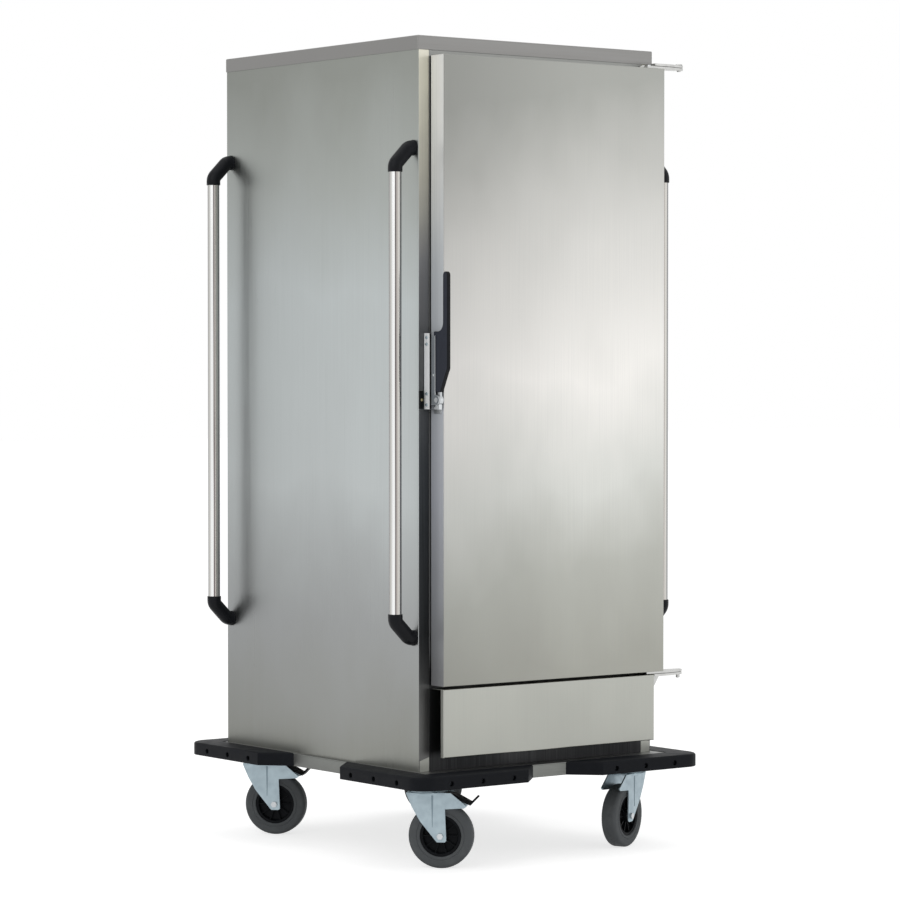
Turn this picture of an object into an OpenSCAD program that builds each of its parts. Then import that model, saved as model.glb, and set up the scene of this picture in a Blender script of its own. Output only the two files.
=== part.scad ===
// Enclosed meal tray cart: a stainless cabinet on a base frame with corner bumpers,
// one door that swings round to the side, tube handles, a lever latch and swivel casters.
// Millimetres. +Z is up, the door faces -Y, and the origin is on the floor, under the
// middle of the outline that the bumpers draw.

/* [Cabinet] */
// Outer width of the cabinet, side to side
body_w = 580; // [500:1:700]
// Outer depth of the cabinet, from its front plane to its back
body_d = 658; // [620:1:760]
// Height of the cabinet, from the deck to the top of its cover
body_h = 1402; // [1402:1:1600]
// Thickness of the stainless sheet
sheet_t = 1.5; // [1:0.1:2]
// Width of the front post that each side panel folds into
post_w = 26; // [24:1:34]
// Depth of the fold behind each front post
post_return = 20; // [12:1:28]
// Width of the strip beside the left post that the door's gasket closes on
seal_w = 20; // [19:1:30]
// Width of the fold that each side panel has at its back
rear_fold_w = 22; // [12:1:30]
// Height of the rim round the top cover
lid_rim_h = 27; // [16:1:36]

/* [Compartment] */
// Height of the compartment's floor above the deck
floor_z = 190; // [180:1:230]
// Height of the front frame's header below the top cover
header_h = 62; // [56:1:90]
// Height from one tray level to the next
level_pitch = 115; // [60:1:115]
// Width of a tray
tray_w = 457; // [440:1:480]
// Gap between a tray's edge and the rail beside it
tray_gap = 1.5; // [1:0.5:4]
// Height of the lowest rail above the compartment's floor
first_rail_z = 26; // [10:1:60]
// Width of the ledge that a tray rests on
rail_ledge_w = 20; // [12:1:26]
// Height of a rail's upright leg
rail_leg_h = 25; // [15:1:35]
// Distance from the front plane to a rail's front end
rail_front_gap = 30; // [29:1:50]
// Distance from the back of the cabinet to a rail's rear end
rail_rear_gap = 12; // [6:1:60]
// Width of a rail upright, along the side panel
upright_w = 30; // [20:1:40]

/* [Base] */
// Height of the base frame with its deck
base_h = 25; // [20:1:36]
// How far the base frame stands out at each side
base_side_out = 11; // [4:1:24]
// How far the base frame stands out in front of the cabinet
base_front_out = 38; // [30:1:60]
// How far the base frame stands out behind the cabinet
base_rear_out = 5; // [2:1:20]
// Thickness of the base frame's sheet
base_t = 2; // [1.5:0.1:3]
// Width of the base frame's inward flange
base_flange_w = 28; // [20:1:40]
// Thickness of the plate in each corner that carries a caster
corner_plate_t = 3; // [2:0.5:4]
// How far that plate reaches past the caster's own top plate
corner_plate_margin = 12; // [4:1:30]

/* [Bumpers] */
// How far a bumper stands out from the base frame
bumper_out = 52; // [30:1:70]
// Height of a bumper
bumper_h = 26; // [18:1:36]
// Length of a bumper's leg along its outer face
bumper_leg = 260; // [180:1:262]
// Radius of a bumper's outer corner
bumper_corner_r = 38; // [20:1:60]
// Bevel along the top of a bumper
bumper_bevel = 4; // [2:1:6]
// Distance between the screw holes in a bumper
bumper_hole_pitch = 75; // [55:1:80]
// Radius of a screw hole in a bumper
bumper_hole_r = 5; // [3:0.5:7]
// Depth of a screw hole in a bumper
bumper_hole_depth = 9; // [5:1:14]

/* [Door] */
// Distance from the left side of the cabinet to the door's left edge
door_left = 27.5; // [26:0.5:32]
// Distance from the top of the cabinet down to the door's upper edge
door_top_in = 37.5; // [37.5:0.5:48]
// Thickness of the door without its gasket
door_t = 40.5; // [25:0.5:41]
// Gap between the front plane and the back of the door
door_back_gap = 4; // [3:0.5:6]
// Distance from the right side of the cabinet to the door's right edge
door_right_in = 3; // [2:0.5:6]
// Height of the door's lower edge above the deck
door_bottom_z = 165; // [162:1:170]
// Width of the door's gasket
gasket_w = 14; // [8:1:17]
// Distance from the door's edge to its gasket
gasket_inset = 3; // [1:0.5:6]

/* [Lower front panel] */
// Distance from the left side of the cabinet to the panel's left end
cover_left_in = 32; // [28:1:60]
// Distance from the right side of the cabinet to the panel's right end
cover_right_in = 22; // [22:1:60]
// Height of the panel's lower edge above the deck
cover_bottom_z = 28; // [10:1:50]
// Height of the panel's upper edge above the deck
cover_top_z = 159; // [120:1:159]
// How far the panel stands in front of the front plane
cover_out = 38; // [25:1:44]
// Depth of the folds at the panel's ends and lower edge
cover_fold = 10; // [6:1:16]

/* [Handles] */
// Diameter of a handle's tube
tube_d = 24; // [20:1:26]
// Wall of a handle's tube
tube_wall = 1.5; // [1:0.1:3]
// Distance from the side panel to the tube's axis
tube_out = 43; // [36:1:46]
// Distance from the front or rear edge of the cabinet to the tube's axis
tube_in = 15.5; // [15:0.5:17]
// Height of a handle's lower foot above the deck
handle_low_z = 256; // [220:1:320]
// Distance from the top of the cabinet down to a handle's upper foot
handle_top_in = 213; // [182:1:500]
// Radius of an elbow
elbow_r = 14; // [13.5:0.5:14.5]
// Radius of an elbow's bends, along its axis
elbow_bend_r = 16; // [15:1:20]
// Length of an elbow's straight part at the side panel
elbow_foot_l = 4; // [4:0.5:8]
// Radius of the flange at an elbow's foot
foot_r = 15; // [15:0.5:15.5]
// Thickness of the flange at an elbow's foot
foot_t = 3; // [2:0.5:3.5]
// How deep a tube goes into an elbow
tube_seat = 7; // [5:1:20]
// Length of an elbow's collar past the tube's end
elbow_shoulder = 1; // [1:0.5:4]

/* [Hinges] */
// Distance from the cabinet's side to the hinge pin's axis
hinge_out = 54.5; // [52:0.5:55]
// Distance from the front plane forward to the hinge pin's axis
hinge_front = 21; // [18:0.5:24]
// Thickness of a hinge arm and of a hinge bracket
arm_t = 5; // [3:0.5:5]
// Width of a hinge arm and of a hinge bracket
arm_w = 30; // [20:1:34]
// Radius of the eye that holds the pin
eye_r = 8; // [7:0.5:8]
// Length of a hinge arm along the door
arm_on_door = 37; // [30:1:120]
// Length of a hinge bracket along the front plane
bracket_on_front = 20; // [10:1:21]
// Radius of a hinge pin
pin_r = 4; // [3:0.5:5]
// Radius of a hinge pin's head
pin_head_r = 7; // [5.5:0.5:8]
// Thickness of a hinge pin's head
pin_head_t = 3; // [2:0.5:4]
// Length of a bracket's leg along the cabinet's side
bracket_leg = 46; // [30:1:60]
// Height of a bracket's leg
bracket_leg_h = 44; // [25:1:60]

/* [Latch] */
// Distance from the cabinet's left side to the latch bracket
latch_left = 13; // [12.5:0.5:13]
// Distance from the lever to the door's edge
latch_door_gap = 2.5; // [2:0.5:3]
// Height of the bracket's lower end above the deck
latch_z = 692; // [500:1:800]
// Height of the latch bracket
latch_h = 145; // [110:1:180]
// Thickness of the latch bracket's sheet
latch_t = 2; // [1.5:0.1:2.2]
// Distance from the front plane to the lever's pivot
pivot_front = 37.5; // [32:0.5:42]
// Height of the lever's pivot above the bracket's lower end
pivot_up = 18; // [15:0.5:20]
// Depth of the bracket's web
web_depth = 34; // [24:1:36]
// Width of the strip beside the post that the bracket's screws go through
strip_w = 20; // [16:1:22]
// Radius of the bracket's ear and of the lever's hub round the pivot
cheek_r = 9.5; // [8:0.5:11]
// Radius of the lever's pivot pin
lever_pin_r = 3; // [2:0.5:4]
// Length of the black lever above its pivot
lever_len = 243; // [160:1:300]
// Depth of the lever's lower half, front to back
lever_depth = 43; // [36:1:46]
// Depth of the lever's grip, front to back
grip_depth = 14; // [12:1:28]
// Height at which the lever narrows to its grip
grip_from = 130; // [100:1:150]

/* [Casters] */
// Height from the floor to the underside of the base frame
caster_h = 162; // [155:1:180]
// Diameter of a wheel
wheel_d = 125; // [100:1:126]
// Width of a tyre
tyre_w = 32; // [26:1:34]
// Rounding of a tyre's shoulders
tyre_round = 7; // [3:1:10]
// Diameter of a wheel's hub
hub_d = 80; // [60:1:86]
// Distance from a caster's swivel axis to its wheel's axle
trail = 34.5; // [30:0.5:38]
// Radius of an axle
axle_r = 4; // [3:0.5:6]
// Thickness of a fork's sheet
fork_t = 3; // [2:0.5:4]
// Distance from a side of the cabinet to a front swivel axis
front_swivel_side_in = 32; // [30:1:60]
// Distance from a side of the cabinet to a rear swivel axis
rear_swivel_side_in = 46; // [34:1:60]
// Distance from the front plane back to a front swivel axis
swivel_front_in = 26; // [20:1:80]
// Distance from the back of the cabinet to a rear swivel axis
swivel_rear_in = 50; // [50:1:80]
// Direction that the front left wheel trails in, in degrees from +X
front_left_angle = -45; // [-180:1:180]
// Direction that the front right wheel trails in, in degrees from +X
front_right_angle = -157; // [-180:1:180]
// Direction that the rear left wheel trails in, in degrees from +X
rear_left_angle = -47; // [-180:1:180]
// Direction that the rear right wheel trails in, in degrees from +X
rear_right_angle = 143; // [-180:1:180]

/* [Fits] */
// Radial clearance of a pin in a bore
running = 0.05; // [0.02:0.01:0.1]
// Gap between two parts that move past each other
moving_gap = 0.5; // [0.3:0.1:0.6]

/* [Hidden] */

$fn = 64;
steel = "#b9bab6";
dark_steel = "#8f918f";
bright = "#d4d6d6";
black = "#1d1f23";
zinc = "#b6c0c6";
grey_rubber = "#6c6e6f";
brass = "#b08d4f";
foam = "#d9d2b8";

// The outline that the bumpers draw is centred on the origin.
side_reach = base_side_out + bumper_out;
front_reach = base_front_out + bumper_out;
rear_reach = base_rear_out + bumper_out;
outline_d = front_reach + body_d + rear_reach;
left_x = -body_w / 2;
front_y = front_reach - outline_d / 2;
deck_z = caster_h + base_h;

door_w = body_w - door_left - door_right_in;
door_front = door_back_gap + door_t;
door_top_z = body_h - door_top_in;
handle_high_z = body_h - handle_top_in;
door_h = door_top_z - door_bottom_z;
lid_under_z = body_h - sheet_t;
opening_top_z = body_h - header_h;
hinge_x = body_w + hinge_out;
lower_arm_z = door_bottom_z - arm_t;
upper_bracket_z = door_top_z + arm_t + moving_gap;
lower_bracket_z = lower_arm_z - moving_gap - arm_t;

// Cabinet places: x from the left side, f forward of the front plane, z above the deck.
module at(x, f, z) {
    translate([left_x + x, front_y - f, deck_z + z]) children();
}

// A block between two cabinet places.
module block(x, f, z) {
    at(x[0], f[1], z[0]) cube([x[1] - x[0], f[1] - f[0], z[1] - z[0]]);
}

// The right half of what a left half draws.
module mirrored() {
    mirror([1, 0, 0]) children();
}

// ---------------------------------------------------------------- cabinet

module side_panel() {
    block([0, sheet_t], [-body_d, 0], [0, lid_under_z]);
    block([0, post_w], [-sheet_t, 0], [0, lid_under_z]);
    block([post_w - sheet_t, post_w], [-post_return, 0], [0, lid_under_z]);
    block([0, rear_fold_w], [-body_d + sheet_t, -body_d + 2 * sheet_t], [0, lid_under_z]);
}

module left_side_panel() {
    color(steel) side_panel();
}

module right_side_panel() {
    color(steel) mirrored() side_panel();
}

module rear_panel() {
    color(steel) block([sheet_t, body_w - sheet_t], [-body_d, -body_d + sheet_t], [0, lid_under_z]);
}

module top_cover() {
    rim_z = body_h - lid_rim_h;
    color(steel) difference() {
        block([-sheet_t, body_w + sheet_t], [-body_d - sheet_t, sheet_t], [rim_z, body_h]);
        block([0, body_w], [-body_d, 0], [rim_z - 1, lid_under_z]);
    }
}

// The header, the sill behind the lower panel and the strip that the door closes on.
module front_frame() {
    inner = [post_w, body_w - post_w];
    seal = [post_w, post_w + seal_w];
    fold_f = [-post_return, 0];
    color(dark_steel) {
        block(inner, [-sheet_t, 0], [opening_top_z, lid_under_z]);
        block(inner, fold_f, [opening_top_z, opening_top_z + sheet_t]);
        block(inner, [-sheet_t, 0], [0, floor_z]);
        block(seal, [-sheet_t, 0], [0, lid_under_z]);
        block([seal[1] - sheet_t, seal[1]], fold_f, [floor_z, opening_top_z]);
    }
}

module compartment_floor() {
    color(steel) {
        block([sheet_t, body_w - sheet_t], [-body_d + 2 * sheet_t, -post_return], [floor_z - sheet_t, floor_z]);
        block([post_w, body_w - post_w], [-post_return, -sheet_t], [floor_z - sheet_t, floor_z]);
    }
}

// A shallow cover with a full-depth top flange, folded ends and open sides.
module lower_front_panel() {
    ends = [cover_left_in, body_w - cover_right_in];
    face_back = cover_out - sheet_t;
    bracket_in = 70;
    bracket_drop = 60;
    color(steel) {
        block(ends, [face_back, cover_out], [cover_bottom_z, cover_top_z]);
        block(ends, [0, cover_out], [cover_top_z - sheet_t, cover_top_z]);
        block(ends, [cover_out - cover_fold, cover_out], [cover_bottom_z, cover_bottom_z + sheet_t]);
        for (x = [ends[0], ends[1] - sheet_t])
            block([x, x + sheet_t], [cover_out - cover_fold, cover_out], [cover_bottom_z, cover_top_z]);
        for (x = [ends[0] + bracket_in, ends[1] - bracket_in - sheet_t])
            block([x, x + sheet_t], [0, face_back], [cover_top_z - bracket_drop, cover_top_z]);
    }
}

// ---------------------------------------------------------------- tray rails

rail_back = -body_d + rail_rear_gap;
rail_front = -rail_front_gap;
rail_foot_x = (body_w - tray_w) / 2 - tray_gap - sheet_t;
upright_inset = 40;
lowest_rail = floor_z + first_rail_z;
tray_levels = 1 + floor((opening_top_z - rail_leg_h - lowest_rail) / level_pitch);
rail_z = [for (i = [0 : tray_levels - 1]) lowest_rail + i * level_pitch];
rail_top_z = rail_z[tray_levels - 1] + rail_leg_h;

module side_uprights() {
    for (f = [rail_front - upright_inset - upright_w, rail_back + upright_inset])
        difference() {
            block([sheet_t, rail_foot_x], [f, f + upright_w], [floor_z, rail_top_z + upright_inset]);
            block([sheet_t - 1, rail_foot_x - sheet_t], [f + sheet_t, f + upright_w - sheet_t],
                [floor_z - 1, rail_top_z + upright_inset + 1]);
        }
}

module side_rails() {
    for (z = rail_z) {
        block([rail_foot_x, rail_foot_x + sheet_t], [rail_back, rail_front], [z, z + rail_leg_h]);
        block([rail_foot_x, rail_foot_x + rail_ledge_w], [rail_back, rail_front], [z, z + sheet_t]);
    }
}

module rail_uprights() {
    color(steel) {
        side_uprights();
        mirrored() side_uprights();
    }
}

module left_tray_rails() {
    color(steel) side_rails();
}

module right_tray_rails() {
    color(steel) mirrored() side_rails();
}

// ---------------------------------------------------------------- base

base_x = [-base_side_out, body_w + base_side_out];
base_f = [-body_d - base_rear_out, base_front_out];

module base_frame() {
    inner_x = [base_x[0] + base_t, base_x[1] - base_t];
    inner_f = [base_f[0] + base_t, base_f[1] - base_t];
    color(steel) difference() {
        union() {
            difference() {
                block(base_x, base_f, [-base_h, -base_t]);
                block(inner_x, inner_f, [-base_h + base_t, 0]);
                block([inner_x[0] + base_flange_w, inner_x[1] - base_flange_w],
                    [inner_f[0] + base_flange_w, inner_f[1] - base_flange_w], [-base_h - 1, 0]);
            }
            for (x = [[inner_x[0], corner_plate_x], [body_w - corner_plate_x, inner_x[1]]])
                for (f = [[inner_f[0], -body_d + corner_plate_rear], [-corner_plate_front, inner_f[1]]])
                    block(x, f, [-base_h, -base_h + corner_plate_t]);
        }
        at_each_bolt() translate([0, 0, -1]) cylinder(r = bolt_hole_r, h = corner_plate_t + 2);
    }
}

module deck_plate() {
    color(steel) block(base_x, base_f, [-base_t, 0]);
}

// ---------------------------------------------------------------- bumpers

// Plan of one bumper with the base frame's corner at the origin and its legs along +X and +Y.
module bumper_plan(inset) {
    reach = bumper_leg - bumper_out;
    difference() {
        union() {
            polygon([[-bumper_out + inset, -bumper_out + inset + bumper_corner_r],
                [-bumper_out + inset + bumper_corner_r, -bumper_out + inset],
                [reach, -bumper_out + inset], [reach + bumper_out - inset, 0], [0, 0],
                [0, reach + bumper_out - inset], [-bumper_out + inset, reach]]);
            translate([-bumper_out + inset + bumper_corner_r, -bumper_out + inset + bumper_corner_r])
                circle(r = bumper_corner_r);
        }
        square(2 * bumper_corner_r);
    }
}

// Places along a bumper's outer faces where a screw goes in, seen from the frame's corner.
module at_bumper_holes() {
    for (i = [1 : 3]) {
        along = i * bumper_hole_pitch - bumper_out;
        translate([along, -bumper_out, bumper_h / 2 - bumper_bevel / 2]) rotate([-90, 0, 0]) children();
        translate([-bumper_out, along, bumper_h / 2 - bumper_bevel / 2]) rotate([0, 90, 0]) children();
    }
}

module bumper() {
    steps = 2;
    difference() {
        union() {
            linear_extrude(bumper_h - bumper_bevel) bumper_plan(0);
            for (i = [1 : steps])
                linear_extrude(bumper_h - bumper_bevel + i * bumper_bevel / steps)
                    bumper_plan(i * bumper_bevel / steps);
        }
        at_bumper_holes() translate([0, 0, -1]) cylinder(r = bumper_hole_r, h = bumper_hole_depth + 1);
    }
}

// Puts what is drawn at the front left corner of the base frame at another corner.
module at_corner(right, rear) {
    mirror([right ? 1 : 0, 0, 0])
        at(base_x[0], rear ? base_f[0] : base_f[1], -bumper_h)
            mirror([0, rear ? 1 : 0, 0]) children();
}

module front_left_bumper() {
    color(black) at_corner(false, false) bumper();
}

module front_right_bumper() {
    color(black) at_corner(true, false) bumper();
}

module rear_left_bumper() {
    color(black) at_corner(false, true) bumper();
}

module rear_right_bumper() {
    color(black) at_corner(true, true) bumper();
}

module bumper_screws() {
    head_t = 3;
    color(dark_steel)
        for (right = [false, true], rear = [false, true])
            at_corner(right, rear) at_bumper_holes()
                translate([0, 0, bumper_hole_depth - head_t]) cylinder(r = bumper_hole_r - 0.5, h = head_t);
}

// ---------------------------------------------------------------- handles

// The run from the tube's axis to the side panel, at 45 degrees between its two bends.
elbow_knee = elbow_bend_r * tan(22.5);
elbow_run = tube_out - elbow_knee - elbow_foot_l;
elbow_sides = 24;
elbow_step = 9;
// The seat's flat sides clear the round tube.
elbow_seat_r = (tube_d / 2 + running) / cos(180 / elbow_sides);

// Rings along an elbow, each [x, z, lean, radius]: up from the floor of the tube's seat to its
// mouth, back along the outside, round both bends and out to the flange on the side panel.
elbow_rings = concat(
    [[0, -elbow_knee - elbow_shoulder, 0, elbow_seat_r],
        [0, -elbow_knee - elbow_shoulder - tube_seat, 0, elbow_seat_r],
        [0, -elbow_knee - elbow_shoulder - tube_seat, 0, elbow_r]],
    [for (a = [0 : elbow_step : 45])
        [elbow_bend_r * (1 - cos(a)), elbow_bend_r * sin(a) - elbow_knee, a, elbow_r]],
    [for (a = [45 : elbow_step : 90])
        [elbow_run + elbow_knee - elbow_bend_r * cos(a), elbow_run - elbow_bend_r * (1 - sin(a)), a, elbow_r]],
    [[tube_out - foot_t, elbow_run, 90, elbow_r], [tube_out - foot_t, elbow_run, 90, foot_r],
        [tube_out, elbow_run, 90, foot_r]]);

function ring_points(ring) = [for (i = [0 : elbow_sides - 1])
    let (a = 360 * i / elbow_sides)
    [ring[0] + ring[3] * cos(a) * cos(ring[2]), ring[3] * sin(a), ring[1] - ring[3] * cos(a) * sin(ring[2])]];

// An elbow that comes up the tube's axis, leans over and ends square on the side panel.
module elbow_upwards() {
    last = len(elbow_rings) - 1;
    n = elbow_sides;
    polyhedron(
        points = [for (ring = elbow_rings) each ring_points(ring)],
        faces = concat(
            [[for (i = [0 : n - 1]) i]],
            [for (j = [0 : last - 1], i = [0 : n - 1])
                let (k = (i + 1) % n) [j * n + i, (j + 1) * n + i, (j + 1) * n + k, j * n + k]],
            [[for (i = [n - 1 : -1 : 0]) last * n + i]]));
}

handle_f = [-tube_in, -body_d + tube_in];

module side_tubes() {
    reach = elbow_run + elbow_knee + elbow_shoulder + running;
    low = handle_low_z + reach;
    high = handle_high_z - reach;
    for (f = handle_f)
        at(-tube_out, f, low) difference() {
            cylinder(r = tube_d / 2, h = high - low);
            translate([0, 0, -1]) cylinder(r = tube_d / 2 - tube_wall, h = high - low + 2);
        }
}

module side_elbows() {
    for (f = handle_f) {
        at(-tube_out, f, handle_high_z - elbow_run) elbow_upwards();
        at(-tube_out, f, handle_low_z + elbow_run) mirror([0, 0, 1]) elbow_upwards();
    }
}

module left_handle_tubes() {
    color(bright) side_tubes();
}

module right_handle_tubes() {
    color(bright) mirrored() side_tubes();
}

module left_handle_elbows() {
    color(black) side_elbows();
}

module right_handle_elbows() {
    color(black) mirrored() side_elbows();
}

// ---------------------------------------------------------------- door

module door_skin() {
    color(steel) difference() {
        block([door_left, door_left + door_w], [door_back_gap, door_front], [door_bottom_z, door_top_z]);
        block([door_left + sheet_t, door_left + door_w - sheet_t], [door_back_gap - 1, door_front - sheet_t],
            [door_bottom_z + sheet_t, door_top_z - sheet_t]);
        keeper_pocket();
    }
}

module door_liner() {
    color(steel) block([door_left + sheet_t, door_left + door_w - sheet_t],
        [door_back_gap, door_back_gap + sheet_t], [door_bottom_z + sheet_t, door_top_z - sheet_t]);
}

module door_core() {
    color(foam) difference() {
        block([door_left + sheet_t, door_left + door_w - sheet_t],
            [door_back_gap + sheet_t, door_front - sheet_t],
            [door_bottom_z + sheet_t, door_top_z - sheet_t]);
        keeper_pocket();
    }
}

module door_gasket() {
    outer_x = [door_left + gasket_inset, door_left + door_w - gasket_inset];
    outer_z = [door_bottom_z + gasket_inset, door_top_z - gasket_inset];
    color(black) difference() {
        block(outer_x, [moving_gap, door_back_gap], outer_z);
        block([outer_x[0] + gasket_w, outer_x[1] - gasket_w], [0, door_back_gap + 1],
            [outer_z[0] + gasket_w, outer_z[1] - gasket_w]);
    }
}

// ---------------------------------------------------------------- hinges

arm_f = [hinge_front - arm_w / 2, hinge_front + arm_w / 2];

// A flat bar from x to the hinge pin, which narrows to an eye with a bore.
module bar_to_pin(x, z) {
    shoulder = body_w + (hinge_out - eye_r) / 2;
    difference() {
        at(0, 0, z) linear_extrude(arm_t) union() {
            polygon([[x, -arm_f[0]], [shoulder, -arm_f[0]], [hinge_x, -hinge_front + eye_r],
                [hinge_x, -hinge_front - eye_r], [shoulder, -arm_f[1]], [x, -arm_f[1]]]);
            translate([hinge_x, -hinge_front]) circle(r = eye_r);
        }
        at(hinge_x, hinge_front, z - 1) cylinder(r = pin_r + running, h = arm_t + 2);
    }
}

// A bar from the front plane and the side panel to the pin, on a leg that hangs at the side.
module hinge_bracket(z) {
    leg_t = 3;
    side_x = [body_w, body_w + leg_t];
    bar_to_pin(body_w - bracket_on_front, z);
    block([body_w - bracket_on_front, side_x[1]], [0, arm_f[0]], [z, z + arm_t]);
    block(side_x, [-bracket_leg, 0], [z, z + arm_t]);
    block(side_x, [-bracket_leg, 0], [z + arm_t - bracket_leg_h, z]);
}

// A small gusset under the lower bracket's bar.
module bracket_gusset(z) {
    gusset_w = 17;
    gusset_h = 22;
    leg_t = 3;
    block([body_w, body_w + leg_t], [0, arm_f[0] + leg_t], [z - gusset_h, z]);
    at(body_w, arm_f[0], z) rotate([90, 0, 0])
        linear_extrude(leg_t) polygon([[0, 0], [gusset_w, 0], [leg_t, -gusset_h], [0, -gusset_h]]);
}

module upper_hinge_bracket() {
    color(bright) hinge_bracket(upper_bracket_z);
}

module lower_hinge_bracket() {
    color(bright) {
        hinge_bracket(lower_bracket_z);
        bracket_gusset(lower_bracket_z);
    }
}

module upper_hinge_arm() {
    color(bright) bar_to_pin(door_left + door_w - arm_on_door, door_top_z);
}

module lower_hinge_arm() {
    color(bright) bar_to_pin(door_left + door_w - arm_on_door, lower_arm_z);
}

module hinge_pin(low_z) {
    tail = 2;
    at(hinge_x, hinge_front, low_z - tail) cylinder(r = pin_r, h = 2 * arm_t + moving_gap + tail);
    at(hinge_x, hinge_front, low_z + 2 * arm_t + moving_gap) cylinder(r = pin_head_r, h = pin_head_t);
}

module hinge_pins() {
    color(bright) {
        hinge_pin(door_top_z);
        hinge_pin(lower_bracket_z);
    }
}

// ---------------------------------------------------------------- latch

lever_x = [latch_left + latch_t + moving_gap + 1, door_left - latch_door_gap];
lever_w = lever_x[1] - lever_x[0];
web_x = [lever_x[0] - moving_gap - latch_t, lever_x[0] - moving_gap];
pivot_z = latch_z + pivot_up;
screw_f = strip_w / 2 + 1;
screw_z = [latch_z + 8.5, latch_z + 29.5, latch_z + latch_h - 21, latch_z + latch_h - 8.5];
strap_in = 2;
strap_half = 7;
strap_l = 60;

// A round shaft along x, at the lever's pivot.
module across(x, r) {
    at(x[0], pivot_front, pivot_z) rotate([0, 90, 0]) cylinder(r = r, h = x[1] - x[0]);
}

module latch_bracket() {
    color(bright) difference() {
        union() {
            block([latch_left, lever_x[1]], [0, latch_t], [latch_z, latch_z + latch_h]);
            block(web_x, [0, strip_w], [latch_z, latch_z + latch_h]);
            block(web_x, [0, web_depth], [pivot_z - cheek_r, latch_z + latch_h - 5]);
            block(web_x, [0, pivot_front], [pivot_z - cheek_r, pivot_z + cheek_r]);
            across(web_x, cheek_r);
        }
        across([web_x[0] - 1, web_x[1] + 1], lever_pin_r + running);
    }
}

module latch_screws() {
    color(zinc) for (z = screw_z)
        at(web_x[0], screw_f, z) rotate([0, -90, 0]) cylinder(r1 = 3.2, r2 = 2.2, h = 1.6);
}

// The pin is riveted over outside the web and has a thin head on the lever's far side.
module latch_pivot() {
    head_t = 0.8;
    color(zinc) {
        across([web_x[0] - head_t, lever_x[1] + head_t], lever_pin_r);
        across([web_x[0] - head_t, web_x[0]], lever_pin_r + 2);
    }
}

module strap() {
    block([lever_x[0] + strap_in, lever_x[1] - strap_in],
        [pivot_front - strap_half, pivot_front + strap_half], [pivot_z, pivot_z + strap_l]);
}

module latch_lever() {
    color(bright) difference() {
        union() {
            across(lever_x, cheek_r);
            strap();
        }
        across([lever_x[0] - 1, lever_x[1] + 1], lever_pin_r + running);
    }
}

// A moulded cover over the strap, wide and deep below and narrowing to a grip above.
module latch_grip() {
    back = pivot_front - 11.5;
    front = back + lever_depth;
    low = pivot_z + 15;
    heel_f = pivot_front + 9.5;
    slope_z = pivot_z + 58;
    top = pivot_z + lever_len;
    neck = pivot_z + grip_from;
    grip_back = front - grip_depth;
    round_r = grip_depth / 2;
    ease = 5;
    round_end = [for (a = [180 : -12 : 0])
        [-front + round_r + round_r * cos(a), top - round_r + round_r * sin(a)]];
    color(black) difference() {
        at(lever_x[0], 0, 0) rotate([90, 0, 90]) linear_extrude(lever_w)
            polygon(concat([[-back, low], [-heel_f, low], [-front, slope_z]], round_end,
                [[-grip_back, neck + ease], [-grip_back + ease, neck],
                [-back - ease, neck], [-back, neck - ease]]));
        strap();
    }
}

// The claw below the lever's hub. It stops short of the keeper on the door.
module latch_hook() {
    reach = 18;
    claw_h = 5;
    hook_x = [lever_x[0] + 1, lever_x[1]];
    stem_f = [pivot_front - 7, pivot_front + 5];
    color(bright) difference() {
        union() {
            block(hook_x, stem_f, [pivot_z - reach, pivot_z]);
            block(hook_x, [stem_f[0] - claw_h, stem_f[1]], [pivot_z - reach, pivot_z - reach + claw_h]);
        }
        across([hook_x[0] - 1, hook_x[1] + 1], cheek_r);
    }
}

keeper_z = [latch_z - 8, latch_z + 14];
keeper_f = [15, 38];
keeper_depth = 3;

module keeper_pocket() {
    block([door_left - 1, door_left + keeper_depth], keeper_f, keeper_z);
}

module latch_keeper() {
    lip = 1.5;
    color(bright) block([door_left - lip, door_left + keeper_depth], keeper_f, keeper_z);
}

lock_x = 4.5;
lock_r = 2.6;
lock_z = pivot_z;

module lock_block() {
    height = 34;
    half_w = 3.5;
    depth = 5;
    color(black) difference() {
        block([lock_x - half_w, lock_x + half_w], [0, depth], [lock_z - height / 2, lock_z + height / 2]);
        at(lock_x, -1, lock_z) rotate([90, 0, 0]) cylinder(r = lock_r + running, h = depth + 2);
    }
}

module lock_bolt() {
    length = 6.5;
    color(brass) at(lock_x, 0, lock_z) rotate([90, 0, 0]) cylinder(r = lock_r, h = length);
}

// ---------------------------------------------------------------- casters

wheel_r = wheel_d / 2;
plate_size = [80, 105];
plate_t = 3.5;
bolt_spacing = [60, 80];
bolt_hole_r = 4.25;
bolt_r = 4;
crown_top = 146;
crown_r = 31;
cup_h = 6;
kingpin_r = 6;
leg_in = tyre_w / 2 + 2;
leg_out = leg_in + fork_t;
corner_plate_x = max(front_swivel_side_in, rear_swivel_side_in) + plate_size[0] / 2 + corner_plate_margin;
corner_plate_front = swivel_front_in + plate_size[1] / 2 + corner_plate_margin;
corner_plate_rear = swivel_rear_in + plate_size[1] / 2 + corner_plate_margin;

// Each caster: x and f of its swivel axis and the direction that it trails in.
front_left = [front_swivel_side_in, -swivel_front_in, front_left_angle];
front_right = [body_w - front_swivel_side_in, -swivel_front_in, front_right_angle];
rear_left = [rear_swivel_side_in, -body_d + swivel_rear_in, rear_left_angle];
rear_right = [body_w - rear_swivel_side_in, -body_d + swivel_rear_in, rear_right_angle];
casters = [front_left, front_right, rear_left, rear_right];

// On the floor under a caster's swivel axis, square to the cabinet.
module under(caster) {
    translate([left_x + caster[0], front_y - caster[1], 0]) children();
}

// The same, with +X along the way the caster trails.
module trailing(caster) {
    under(caster) rotate([0, 0, caster[2]]) children();
}

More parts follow.
